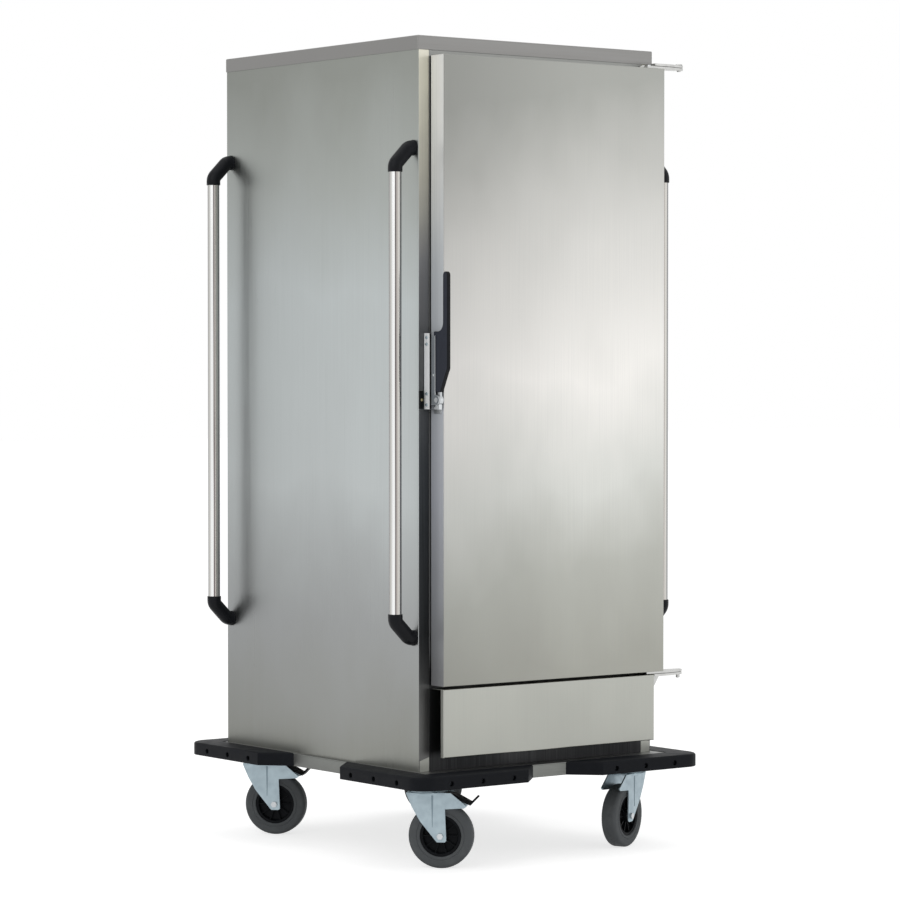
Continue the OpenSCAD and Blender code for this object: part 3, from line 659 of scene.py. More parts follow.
# Painted reflection: the door's left edge face is a pale, mostly diffuse sheet that brightens
# upward in place of what it mirrors.
DOOR_EDGE = BrushedStainless(
    "stainless_door_edge", "stainless_skin", metal=0.25,
    tones=((0.36, "#808183"), (0.5, "#a2a4a8"), (0.75, "#c6c9d1"), (1.1, "#dce1e5"),
           (1.5, "#f2f2ee")))
COVER_SHEET = BrushedStainless("stainless_cover_sheet", "stainless_skin", grain=Grain.ACROSS,
                               tones=((1.5, "#858482"), (1.6, "#898886")))
PANEL_SHEET = BrushedStainless("stainless_panel_sheet", "stainless_skin",
                               tones=((0.2, "#a3a49d"), (0.36, "#afb0a9")))
INNER_SHEET = BrushedStainless("stainless_inner_sheet", "stainless_frame", roughness=0.4, metal=0.7,
                               tones=((0.2, "#b0afab"), (0.8, "#bbbdbf"), (1.55, "#b5b6b1")))
SHADED_SHEET = BrushedStainless("stainless_shaded_sheet", "stainless_frame", roughness=0.45,
                                tones=((0.18, "#262627"), (0.36, "#2c2d2e"), (0.42, "#8f9090"),
                                       (1.55, "#9b9c99")))
FRAME_SHEET = BrushedStainless("stainless_frame_sheet", "stainless_frame", grain=Grain.ACROSS,
                               stroke=120.0, tones=((0.16, "#686966"), (0.19, "#747672")))
# Painted light: the deck's upward faces are a lighter copy of the frame sheet.
DECK_TOP = BrushedStainless("stainless_deck_top", "stainless_frame", grain=Grain.ACROSS,
                            roughness=0.42, tones=((0.16, "#7f807e"), (0.2, "#858684")))
TUBE_STEEL = PolishedTube("polished_tube_stainless", "stainless_tube")
PLATED = PolishedMetal("bright_plated_steel", "plated_steel", colour="#c4c7c9",
                       shade_colour="#9a9ea2", roughness=0.3, grain=Grain.ACROSS)
# Painted shade: a darker, duller copy of the bracket's plating for its left faces.
WEB_SHADE_STEEL = ZincPlated("web_steel_painted_shade", "plated_steel", colour="#767c81", cloud="#666c71",
                       roughness=0.45, metal=0.3)
# Painted reflection: a white non-metal stands for the bright light that the plated strip mirrors.
STRIP_REFLECTION_STEEL = ZincPlated("strip_steel_painted_reflection", "plated_steel", colour="#fbfcfd", cloud="#f0f2f4",
                         roughness=0.5, metal=0.0)
# Painted shade: a darker zinc for the strip down each fork plate's crease.
CREASE_SHADE_ZINC = ZincPlated("zinc_crease_painted_shade", "zinc_plate", colour="#7d8c94", cloud="#6f7e87")
HINGE_STEEL = PolishedMetal("satin_hinge_steel", "plated_steel", colour="#c4c4c2",
                            shade_colour="#9a9a98", roughness=0.34, grain=Grain.ACROSS)
BLACK_OXIDE = PolishedMetal("black_oxide_steel", "zinc_plate", colour="#34363a",
                            shade_colour="#1d1e21", roughness=0.42)
BRASS = PolishedMetal("turned_brass", "brass", colour="#b5ab8a", shade_colour="#8f7a46",
                      roughness=0.3)
ZINC = ZincPlated("blue_zinc_plate", "zinc_plate")
BLACK_PLASTIC = MouldedPlastic("moulded_black_polyamide", "black_plastic")
BUMPER_PLASTIC = MouldedPlastic("moulded_black_polyethylene", "black_plastic", colour="#131519",
                                worn="#1e2025", roughness=0.5, grain_mm=1.4)
GRIP_PLASTIC = MouldedPlastic("moulded_grip_polyamide", "black_plastic", colour="#0e1014",
                              worn="#1a1b21", roughness=0.34, grain_mm=0.7, depth=0.1,
                              specular=0.14)
# Painted light: a lighter copy of the grip plastic for the lever's lit left faces.
GRIP_LIT_SIDE = MouldedPlastic("grip_side_painted_light", "black_plastic", colour="#343740", worn="#3d404a",
                           roughness=0.5, grain_mm=0.7, depth=0.1)
SEAL_RUBBER = MouldedPlastic("black_seal_rubber", "seal_rubber", colour="#101011", worn="#1c1c1d",
                             roughness=0.62, depth=0.1)
TYRE_RUBBER = MouldedPlastic("grey_tyre_rubber", "grey_tyre", colour="#5b5e60", worn="#6c6f70",
                             roughness=0.6, grain_mm=1.1, depth=0.16, specular=0.2)
WHITE_BUSH = MouldedPlastic("white_acetal_bush", "black_plastic", colour="#e4e4e0", worn="#cfcfca",
                            roughness=0.4, depth=0.05, specular=0.3)
FOAM = CastFoam("cream_poured_foam", "foam")


# ---------------------------------------------------------------- repeated pieces


class HeadForm(Enum):
    """The kinds of fastener heads on the cart."""

    CROSS = "cross"
    RIVET = "rivet"


def new_tree(name: str, sizes: dict[str, float]) -> tuple[Tree, Node]:
    """Starts a Geometry Nodes tree.

    Args:
        name: The tree's name.
        sizes: Its named inputs with their usual values, in metres or as counts.

    Returns:
        The tree and its group input.
    """
    tree = bpy.data.node_groups.new(name, "GeometryNodeTree")
    tree.interface.new_socket("Geometry", in_out="INPUT", socket_type="NodeSocketGeometry")
    tree.interface.new_socket("Geometry", in_out="OUTPUT", socket_type="NodeSocketGeometry")
    for label, value in sizes.items():
        kind = "NodeSocketInt" if isinstance(value, int) else "NodeSocketFloat"
        tree.interface.new_socket(label, in_out="INPUT", socket_type=kind).default_value = value
    tree.interface.new_socket("Material", in_out="INPUT", socket_type="NodeSocketMaterial")
    return tree, add(tree, "NodeGroupInput")


def end_tree(tree: Tree, start: Node, made: Socket) -> None:
    """Ends a tree with real geometry that carries its material.

    Args:
        tree: The tree.
        start: Its group input.
        made: The instances that it makes.
    """
    real = add(tree, "GeometryNodeRealizeInstances", {"Geometry": made})
    coloured = add(tree, "GeometryNodeSetMaterial", {"Geometry": real.outputs[0],
                                                     "Material": start.outputs["Material"]})
    add(tree, "NodeGroupOutput", {0: coloured.outputs[0]})


def vector(tree: Tree, x: Any = 0.0, y: Any = 0.0, z: Any = 0.0) -> Socket:
    """A vector from three values or sockets."""
    return add(tree, "ShaderNodeCombineXYZ", {0: x, 1: y, 2: z}).outputs[0]


def heads_tree(form: HeadForm) -> Tree:
    """Builds, or finds, the tree that puts a fastener's head at each point of a mesh.

    Args:
        form: The kind of head.

    Returns:
        A tree with the inputs Head radius, Head height, Recess width and Material. Each
        point's "facing" attribute says which way its head looks.
    """
    name = "fastener_heads_" + form.value
    found = bpy.data.node_groups.get(name)
    if found:
        return found
    tree, start = new_tree(name, {"Head radius": 0.004, "Head height": 0.0016,
                                  "Recess width": 0.001})
    radius, height = start.outputs["Head radius"], start.outputs["Head height"]
    if form is HeadForm.RIVET:
        ball = add(tree, "GeometryNodeMeshUVSphere", {"Segments": 20, "Rings": 10, "Radius": 1.0})
        head = add(tree, "GeometryNodeTransform", {
            "Geometry": ball.outputs[0], "Scale": vector(tree, radius, radius, height)}).outputs[0]
    else:
        head = add(tree, "GeometryNodeMeshCone", {
            "Vertices": 24, "Radius Top": worked(tree, "MULTIPLY", radius, 0.72),
            "Radius Bottom": radius, "Depth": height}).outputs["Mesh"]
        wide = worked(tree, "MULTIPLY", radius, 1.25)
        deep = worked(tree, "MULTIPLY", height, 1.1)
        narrow = start.outputs["Recess width"]
        for x, y in ((wide, narrow), (narrow, wide)):
            bar = add(tree, "GeometryNodeMeshCube", {"Size": vector(tree, x, y, deep)})
            cut = add(tree, "GeometryNodeTransform", {
                "Geometry": bar.outputs["Mesh"], "Translation": vector(tree, 0.0, 0.0, height)})
            head = add(tree, "GeometryNodeMeshBoolean", {0: head, 1: cut.outputs[0]},
                       operation="DIFFERENCE", solver="EXACT").outputs[0]
    facing = add(tree, "GeometryNodeInputNamedAttribute", {"Name": "facing"},
                 data_type="FLOAT_VECTOR").outputs[0]
    turn = add(tree, "FunctionNodeAlignRotationToVector", {"Vector": facing}, axis="Z")
    placed = add(tree, "GeometryNodeInstanceOnPoints", {
        "Points": start.outputs["Geometry"], "Instance": head, "Rotation": turn.outputs[0]})
    end_tree(tree, start, placed.outputs[0])
    return tree


def ribs_tree() -> Tree:
    """Builds, or finds, the tree that sets radial ribs round a hub.

    Returns:
        A tree with the inputs Count, Inner radius, Outer radius, Thickness, Depth and
        Material. The ribs stand round the origin, square to Z.
    """
    found = bpy.data.node_groups.get("hub_ribs")
    if found:
        return found
    tree, start = new_tree("hub_ribs", {"Count": 10, "Inner radius": 0.012, "Outer radius": 0.035,
                                        "Thickness": 0.002, "Depth": 0.02})
    out = start.outputs
    length = worked(tree, "SUBTRACT", out["Outer radius"], out["Inner radius"])
    total = worked(tree, "ADD", out["Outer radius"], out["Inner radius"])
    size = vector(tree, length, out["Thickness"], out["Depth"])
    bar = add(tree, "GeometryNodeMeshCube", {"Size": size})
    rib = add(tree, "GeometryNodeTransform", {
        "Geometry": bar.outputs["Mesh"],
        "Translation": vector(tree, worked(tree, "MULTIPLY", total, 0.5))})
    points = add(tree, "GeometryNodePoints", {"Count": out["Count"]})
    index = add(tree, "GeometryNodeInputIndex").outputs[0]
    share = worked(tree, "DIVIDE", index, out["Count"])
    angle = vector(tree, 0.0, 0.0, worked(tree, "MULTIPLY", share, 2 * math.pi))
    placed = add(tree, "GeometryNodeInstanceOnPoints", {
        "Points": points.outputs[0], "Instance": rib.outputs[0], "Rotation": angle})
    end_tree(tree, start, placed.outputs[0])
    return tree


def grown(tree: Tree, name: str, finish: Finish, values: dict[str, float],
          mesh: Mesh | None = None) -> Object:
    """Runs a Geometry Nodes tree once and keeps its result as a plain mesh.

    Args:
        tree: The tree.
        name: The new object's name.
        finish: The finish of what it makes.
        values: Its named inputs.
        mesh: The mesh that it works on, if it needs one.

    Returns:
        The object, with no modifier left on it.
    """
    obj = bpy.data.objects.new(name, mesh or bpy.data.meshes.new(name))
    bpy.context.scene.collection.objects.link(obj)
    modifier = obj.modifiers.new(tree.name, "NODES")
    modifier.node_group = tree
    given = {**values, "Material": finish.material()}
    for item in tree.interface.items_tree:
        if item.item_type == "SOCKET" and item.in_out == "INPUT" and item.name in given:
            modifier[item.identifier] = given[item.name]
    return settled(obj)


@dataclass(frozen=True)
class Heads:
    """Fastener heads of one size: where they sit and which way they face."""

    form: HeadForm
    radius: float
    height: float
    recess: float = 1.0

    def build(self, name: str, finish: Finish,
              places: Sequence[tuple[Vector, Vector]]) -> Object:
        """Makes the heads.

        Args:
            name: The object's name.
            finish: Their finish.
            places: Each head's place, in metres, and the way it faces.

        Returns:
            One object with all the heads.
        """
        mesh = bpy.data.meshes.new(name + "_points")
        mesh.from_pydata([p for p, _ in places], [], [])
        facing = mesh.attributes.new("facing", "FLOAT_VECTOR", "POINT")
        facing.data.foreach_set("vector", [c for _, way in places for c in way])
        return grown(heads_tree(self.form), name, finish, {
            "Head radius": self.radius * MM, "Head height": self.height * MM,
            "Recess width": self.recess * MM}, mesh)


# ---------------------------------------------------------------- sub-assemblies


class Assembly:
    """A sub-assembly that rides on one body unless a piece says otherwise."""

    body = "cabinet"

    def keep(self, obj: Object, finish: Finish, *nodes: str,
             body: str | None = None) -> Object:
        """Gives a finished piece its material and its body.

        Args:
            obj: The piece, in place.
            finish: Its finish.
            nodes: The CAD nodes that it stands for.
            body: The body that it rides on, if not the assembly's own.

        Returns:
            The piece.
        """
        if not obj.data.materials:
            obj.data.materials.append(finish.material())
        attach(obj, body or self.body)
        if nodes:
            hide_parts(*nodes)
        log.info("%s rides on %s: %d faces", obj.name, body or self.body, len(obj.data.polygons))
        return obj

    def dress(self, node: str, finish: Finish, edge: float = 0.4,
              rounds: Iterable[tuple[float, EdgeTest]] = (), segments: int = 2,
              body: str | None = None,
              faces: Iterable[tuple[Finish, FaceTest]] = ()) -> Object:
        """Shows a CAD node with its edges eased.

        Args:
            node: The CAD node.
            finish: Its finish.
            edge: Radius of a plain edge, in millimetres.
            rounds: Larger radii, each with its test.
            segments: Faces across each round.
            body: The body that it rides on, if not the assembly's own.
            faces: Other finishes, each with the test of its faces.

        Returns:
            The dressed piece.
        """
        obj = eased(cad_copy(node, node + "_dressed"), edge, rounds, segments)
        return self.keep(painted(obj, finish, faces), finish, node, body=body)


def painted(obj: Object, finish: Finish,
            faces: Iterable[tuple[Finish, FaceTest]]) -> Object:
    """Gives a piece its finish, and chosen faces another one.

    Args:
        obj: The piece.
        finish: The finish of all other faces.
        faces: The other finishes, each with a test of a face's middle and normal.

    Returns:
        The piece.
    """
    obj.data.materials.clear()
    obj.data.materials.append(finish.material())
    for index, (other, test) in enumerate(faces, 1):
        obj.data.materials.append(other.material())
        for face in obj.data.polygons:
            if test(face.center, face.normal):
                face.material_index = index
    return obj


def faces_way(x: float, y: float, z: float, near: Vector | None = None) -> FaceTest:
    """A test for faces that look one way, and lie in the plane through a place if one is given."""
    way = Vector((x, y, z))
    return lambda middle, normal: normal.dot(way) > 0.98 and (
        near is None or abs((middle - near).dot(way)) < 2 * NEAR)


def upright_at(*places: Point2) -> EdgeTest:
    """A test for upright edges at the cabinet places (x, f), mirrored to the right as well."""
    spots = [(at(x, f, 0).x * side, at(x, f, 0).y) for x, f in places for side in (1, -1)]

    def test(middle: Vector, way: Vector) -> bool:
        """Whether the edge is upright and at one of the places."""
        return abs(way.z) > ALONG and any(
            abs(middle.x - x) < NEAR and abs(middle.y - y) < NEAR for x, y in spots)

    return test


def on_face(axis: int, value: float) -> EdgeTest:
    """A test for edges that lie in the plane where that axis has that value, in metres."""
    return lambda middle, way: abs(middle[axis] - value) < NEAR and abs(way[axis]) < SQUARE


@dataclass
class Cabinet(Assembly):
    """The shell: side panels with their front posts, back, cover, front frame and lower panel."""

    height: float = 1402.0
    bend: float = 2.6
    post: float = 26.0
    post_bend: float = 1.6
    cover_over: float = 1.5
    cover_bend: float = 2.2
    panel_front: float = 38.0
    panel_bend: float = 1.9
    foot: tuple[float, float] = (2.8, 25.0)
    foot_high: float = 28.0
    foot_slant: float = 7.0
    rivet: Heads = Heads(HeadForm.RIVET, 3.2, 1.3)
    rivet_pitch: float = 110.0
    rivet_in: float = 11.0
    rivet_end: float = 40.0

    def build(self) -> None:
        """Builds the shell."""
        folds = [(self.bend, upright_at((0, 0), (0, -BODY_D))),
                 (self.post_bend, upright_at((self.post, 0)))]
        # The posts' front faces take a painted shade, near black from low down to mid-height.
        for side in ("left", "right"):
            self.dress(side + "_side_panel", SIDE_SHEET, 0.35, folds, 3,
                       faces=[(POST_SHEET, faces_way(0, -1, 0, at(0, 0, 0)))])
        self.dress("rear_panel", SIDE_SHEET, 0.3)
        top = at(0, 0, self.height).z
        over = self.cover_over
        self.dress("top_cover", COVER_SHEET, 0.35, [
            (self.cover_bend, on_face(2, top)),
            (self.cover_bend, upright_at((-over, over), (-over, -BODY_D - over)))], 3)
        self.dress("front_frame", SHADED_SHEET, 0.35)
        front = at(0, self.panel_front, 0).y
        self.dress("lower_front_panel", PANEL_SHEET, 0.35,
                   [(self.panel_bend, on_face(1, front))], 3)
        self.post_feet()
        self.rear_rivets()

    def post_feet(self) -> None:
        """Adds the folded shoe at the foot of each post."""
        bm = bmesh.new()
        for side in (1, -1):
            def place(x: float, z: float, f: float, side: int = side) -> Vector:
                """A place on the left shoe, or on its mirror image."""
                return mirrored(at(x, f, z), side)
            left, right = self.foot
            outline = [(left, 0.1), (right, 0.1), (right, self.foot_high),
                       (left, self.foot_high - self.foot_slant)]
            slab(bm, outline, -0.2, 0.7, place)
        obj = new_object(bm, "post_foot_shoes", recalc=True)
        self.keep(eased(obj, 0.25), PANEL_SHEET)

    def rear_rivets(self) -> None:
        """Adds the rivets that hold the back to the folds of the side panels."""
        back = Vector((0, 1, 0))
        count = int((self.height - 2 * self.rivet_end) // self.rivet_pitch) + 1
        places = [(at(x, -BODY_D - 0.05, self.rivet_end + i * self.rivet_pitch), back)
                  for x in (self.rivet_in, BODY_W - self.rivet_in) for i in range(count)]
        self.keep(self.rivet.build("rear_panel_rivets", PLATED, places), PLATED)


@dataclass
class Interior(Assembly):
    """What a tray meets inside: the floor, the uprights and the rails."""

    edge: float = 0.35
    weld: Heads = Heads(HeadForm.RIVET, 2.4, 0.35)
    weld_x: float = 59.95
    weld_rise: float = 14.0
    rows: tuple[float, float] = (-85.0, -591.0)
    levels: int = 10
    first: float = 216.0
    pitch: float = 115.0

    def build(self) -> None:
        """Builds the compartment's fittings."""
        self.dress("compartment_floor", INNER_SHEET, self.edge)
        self.dress("rail_uprights", INNER_SHEET, self.edge, segments=1)
        for side in ("left", "right"):
            self.dress(side + "_tray_rails", INNER_SHEET, self.edge, segments=1)
        self.spot_welds()

    def spot_welds(self) -> None:
        """Adds the spot welds that hold each rail to its uprights."""
        places = []
        for side in (1, -1):
            for level in range(self.levels):
                for f in self.rows:
                    p = at(self.weld_x, f, self.first + self.weld_rise + level * self.pitch)
                    places.append((mirrored(p, side), Vector((side, 0, 0))))
        self.keep(self.weld.build("rail_spot_welds", INNER_SHEET, places), INNER_SHEET)


@dataclass
class Base(Assembly):
    """The folded base frame and the deck that the cabinet stands on."""

    bend: float = 2.4

    def build(self) -> None:
        """Builds the base."""
        corners = upright_at((BASE_SIDE, BASE_FRONT), (BASE_SIDE, BASE_BACK))
        self.dress("base_frame", FRAME_SHEET, 0.4, [(self.bend, corners)], 2)
        # The deck's upward faces take a lighter copy of the frame sheet as painted light.
        self.dress("deck_plate", FRAME_SHEET, 0.45, [(self.bend, corners)], 2,
                   faces=[(DECK_TOP, faces_way(0, 0, 1))])


@dataclass
class Bumpers(Assembly):
    """Moulded bumpers round the base frame's corners, each with six sunk screws."""

    out: float = 52.0
    low: float = -25.0
    high: float = 26.0
    leg: float = 260.0
    corner: float = 38.0
    crown: float = 4.0
    hem: float = 1.2
    hole_r: float = 5.0
    hole_deep: float = 9.0
    pitch: float = 75.0
    screw: Heads = Heads(HeadForm.CROSS, 4.3, 2.4, 1.1)

    def plan(self, inset: float) -> list[Point2]:
        """The outline in plan, from the base frame's corner.

        Args:
            inset: How far the outer faces step in, in millimetres.

        Returns:
            Its points, anticlockwise.
        """
        edge, reach = -self.out + inset, self.leg - self.out
        centre, tip = edge + self.corner, reach + self.out - inset
        return (arc(centre, centre, self.corner, 180, 270, 16)
                + [(reach, edge), (tip, 0.0), (0.0, 0.0), (0.0, tip), (edge, reach)])

    def profile(self) -> list[Point2]:
        """Inset and height of each ring from the lower edge to the crown."""
        low = [(self.hem * (1 - math.sin(a)), self.hem * (1 - math.cos(a)))
               for a in (math.radians(90 * i / 3) for i in range(4))]
        rise = self.high - self.crown
        high = [(self.crown * (1 - math.cos(a)), rise + self.crown * math.sin(a))
                for a in (math.radians(90 * i / 6) for i in range(7))]
        return low + high

    def corner_frame(self, right: bool, rear: bool) -> Matrix:
        """The frame of one corner, mirrored from the front left one."""
        p = at(BASE_SIDE, BASE_BACK if rear else BASE_FRONT, self.low)
        sx, sy = (-1 if right else 1), (-1 if rear else 1)
        return Matrix.Translation((p.x * sx, p.y, p.z)) @ Matrix.Diagonal((sx, sy, 1, 1))

    def hole_places(self) -> list[tuple[Vector, Vector]]:
        """Each hole's mouth on the front left bumper and the way that it faces."""
        z = (self.high - self.crown) / 2
        found = []
        for i in (1, 2, 3):
            along = i * self.pitch - self.out
            found.append((Vector((along, -self.out, z)), Vector((0, -1, 0))))
            found.append((Vector((-self.out, along, z)), Vector((-1, 0, 0))))
        return found

    def build(self) -> None:
        """Builds the four bumpers and their screws."""
        screws = []
        for right in (False, True):
            for rear in (False, True):
                frame = self.corner_frame(right, rear)
                name = "%s_%s_bumper" % ("rear" if rear else "front", "right" if right else "left")
                self.keep(self.moulding(name, frame), BUMPER_PLASTIC, name)
                for mouth, way in self.hole_places():
                    seat = mouth - way * (self.hole_deep - self.screw.height / 2)
                    turn = (frame.to_3x3() @ way).normalized()
                    screws.append((frame @ (seat * MM), turn))
        self.keep(self.screw.build("bumper_screw_heads", BLACK_OXIDE, screws), BLACK_OXIDE,
                  "bumper_screws")

    def moulding(self, name: str, frame: Matrix) -> Object:
        """Makes one bumper with its screw holes.

        Args:
            name: The CAD node's name.
            frame: Its corner.

        Returns:
            The bumper, in place.
        """
        bm = bmesh.new()
        skin(bm, [[frame @ Vector((x * MM, y * MM, z * MM)) for x, y in self.plan(inset)]
                  for inset, z in self.profile()])
        body = new_object(bm, name + "_moulded", recalc=True)
        cut = bmesh.new()
        for mouth, way in self.hole_places():
            axis = Matrix.Translation(mouth * MM) @ way.to_track_quat("Z", "Y").to_matrix().to_4x4()
            turned(cut, [(self.hole_r, -self.hole_deep), (self.hole_r, -0.8),
                         (self.hole_r + 0.9, 0.1), (self.hole_r + 0.9, 2.0)], frame @ axis, 32)
        cutter = new_object(cut, name + "_holes", recalc=True)
        boolean = body.modifiers.new("holes", "BOOLEAN")
        boolean.object, boolean.operation, boolean.solver = cutter, "DIFFERENCE", "EXACT"
        settled(body)
        bpy.data.objects.remove(cutter)
        body.data.set_sharp_from_angle(angle=SMOOTH)
        return body


@dataclass
class Handles(Assembly):
    """Two upright tubes on each side, held off the panel by moulded elbows."""

    tube_r: float = 12.0
    wall: float = 1.5
    out: float = 43.0
    inset: float = 15.5
    low: float = 256.0
    high: float = 1189.0
    elbow_r: float = 14.0
    bend: float = 16.0
    foot: float = 4.0
    foot_r: float = 15.0
    foot_t: float = 3.0
    seat: float = 7.0
    sides: int = 48

    @property
    def knee(self) -> float:
        """Length that one 45 degree bend takes along each of its straight parts."""
        return self.bend * math.tan(math.radians(22.5))

    @property
    def run(self) -> float:
        """Distance from the tube's axis, and along it, of the run between the bends."""
        return self.out - self.knee - self.foot

    def rings(self) -> list[tuple[float, float, float, float]]:
        """Way out, height, lean in degrees and radius of each ring along an elbow."""
        start = -self.knee - 1.0
        mouth = [(0.0, start, 0.0, self.tube_r + 0.05),
                 (0.0, start - self.seat, 0.0, self.tube_r + 0.05),
                 (0.0, start - self.seat, 0.0, self.elbow_r - 0.8),
                 (0.0, start - self.seat + 0.3, 0.0, self.elbow_r - 0.25),
                 (0.0, start - self.seat + 0.9, 0.0, self.elbow_r)]
        first = [(self.bend * (1 - math.cos(math.radians(a))),
                  self.bend * math.sin(math.radians(a)) - self.knee, a, self.elbow_r)
                 for a in (4.5 * i for i in range(11))]
        second = [(self.run + self.knee - self.bend * math.cos(math.radians(a)),
                   self.run - self.bend * (1 - math.sin(math.radians(a))), a, self.elbow_r)
                  for a in (45 + 4.5 * i for i in range(11))]
        neck, end = self.out - self.foot_t, self.out
        flange = [(neck, self.run, 90.0, self.elbow_r), (neck, self.run, 90.0, self.foot_r - 0.5),
                  (neck + 0.5, self.run, 90.0, self.foot_r), (end, self.run, 90.0, self.foot_r)]
        return mouth + first + second + flange

    def elbow(self, bm: BMesh, side: int, f: float, z: float, up: int) -> None:
        """Adds one elbow.

        Args:
            bm: The mesh to add to.
            side: 1 at the left, -1 at the right.
            f: The tube's place, front to back.
            z: Height of the elbow's knee.
            up: 1 at a handle's top, -1 at its foot.
        """
        rings = []
        for out, rise, lean, radius in self.rings():
            c, s = math.cos(math.radians(lean)), math.sin(math.radians(lean))
            ring = []
            for i in range(self.sides):
                a = 2 * math.pi * i / self.sides
                p = at(-self.out + out + radius * math.cos(a) * c, f + radius * math.sin(a),
                       z + up * (rise - radius * math.cos(a) * s))
                ring.append(mirrored(p, side))
            rings.append(ring)
        skin(bm, rings)

    def build(self) -> None:
        """Builds the tubes and elbows of both sides."""
        ends = (-self.inset, -BODY_D + self.inset)
        reach = self.run + self.knee + 1.05
        for side, name in ((1, "left"), (-1, "right")):
            tubes, elbows = bmesh.new(), bmesh.new()
            for f in ends:
                frame = Matrix.Translation(mirrored(at(-self.out, f, self.low + reach), side))
                length = self.high - self.low - 2 * reach
                inner = self.tube_r - self.wall
                turned(tubes, [(inner, 0.0), (self.tube_r - 0.3, 0.0), (self.tube_r, 0.3),
                               (self.tube_r, length - 0.3), (self.tube_r - 0.3, length),
                               (inner, length)], frame, 64, looped=True)
                self.elbow(elbows, side, f, self.high - self.run, 1)
                self.elbow(elbows, side, f, self.low + self.run, -1)
            self.keep(new_object(tubes, name + "_polished_tubes", recalc=True), TUBE_STEEL,
                      name + "_handle_tubes")
            self.keep(new_object(elbows, name + "_moulded_elbows", recalc=True), GRIP_PLASTIC,
                      name + "_handle_elbows")


@dataclass
class Door(Assembly):
    """The hung door: outer skin, liner, poured core and a hollow gasket."""

    body = "door"
    left: float = 27.5
    width: float = 549.5
    back_gap: float = 4.0
    thick: float = 40.5
    bend: float = 2.2

    def build(self) -> None:
        """Builds the door."""
        front = at(0, self.back_gap + self.thick, 0).y
        sides = [at(x, 0, 0).x for x in (self.left, self.left + self.width)]

        def outer_fold(middle: Vector, way: Vector) -> bool:
            """Whether the edge is one of the four folds round the door's face."""
            if abs(middle.y - front) > NEAR or abs(way.y) >= SQUARE:
                return False
            at_side = any(abs(middle.x - x) < NEAR for x in sides)
            return abs(way.x) > ALONG or (abs(way.z) > ALONG and at_side)

        # The door's left edge face takes a painted reflection, pale and brightening upward.
        self.dress("door_skin", DOOR_SHEET, 0.35, [(self.bend, outer_fold)], 3,
                   faces=[(DOOR_EDGE, faces_way(-1, 0, 0, at(self.left, 0, 0)))])
        self.dress("door_liner", INNER_SHEET, 0.3)
        self.dress("door_core", FOAM, 0.3, segments=1)
        self.dress("door_gasket", SEAL_RUBBER, 1.4, segments=3)


@dataclass
class Hinges(Assembly):
    """Flat arms on the door, brackets on the cabinet and the pins that join them."""

    edge: float = 0.8
    out: float = 54.5
    forward: float = 21.0
    door_top: float = 1364.5
    bracket_top: float = 154.5
    bracket_t: float = 5.0
    screw: Heads = Heads(HeadForm.CROSS, 4.0, 1.5, 0.9)
    screw_x: tuple[float, float] = (549.0, 566.0)
    screw_f: tuple[float, float] = (12.0, 30.0)
    bush_in: float = 41.5

    def build(self) -> None:
        """Builds the hinges."""
        for node in ("upper_hinge_arm", "lower_hinge_arm"):
            self.dress(node, HINGE_STEEL, self.edge, segments=3, body="door")
        for node in ("upper_hinge_bracket", "lower_hinge_bracket"):
            self.dress(node, HINGE_STEEL, self.edge, segments=3)
        self.pins()
        self.arm_screws()

    def pins(self) -> None:
        """Adds the two pins with their domed heads."""
        bm = bmesh.new()
        for low in (self.door_top, self.bracket_top - self.bracket_t):
            frame = cabinet_frame(BODY_W + self.out, self.forward, low)
            turned(bm, [(3.4, -2.0), (4.0, -1.4), (4.0, 10.5), (6.4, 10.5), (7.0, 11.1),
                        (7.0, 12.2), (6.3, 13.0), (4.6, 13.4), (2.0, 13.5)], frame, 40)
        self.keep(new_object(bm, "domed_hinge_pins", recalc=True), HINGE_STEEL, "hinge_pins")

    def arm_screws(self) -> None:
        """Adds the screws that hold the upper arm to the door, and the bush beside them."""
        up = Vector((0, 0, 1))
        places = [(at(x, f, self.door_top + 5.4), up)
                  for x in self.screw_x for f in self.screw_f]
        self.keep(self.screw.build("hinge_arm_screws", PLATED, places), PLATED, body="door")
        bm = bmesh.new()
        turned(bm, [(4.4, 0.0), (4.6, 3.4), (4.0, 4.4), (2.2, 4.6)],
               cabinet_frame(BODY_W - self.bush_in, self.forward, self.door_top), 32)
        self.keep(new_object(bm, "hinge_arm_bush", recalc=True), WHITE_BUSH, body="door")


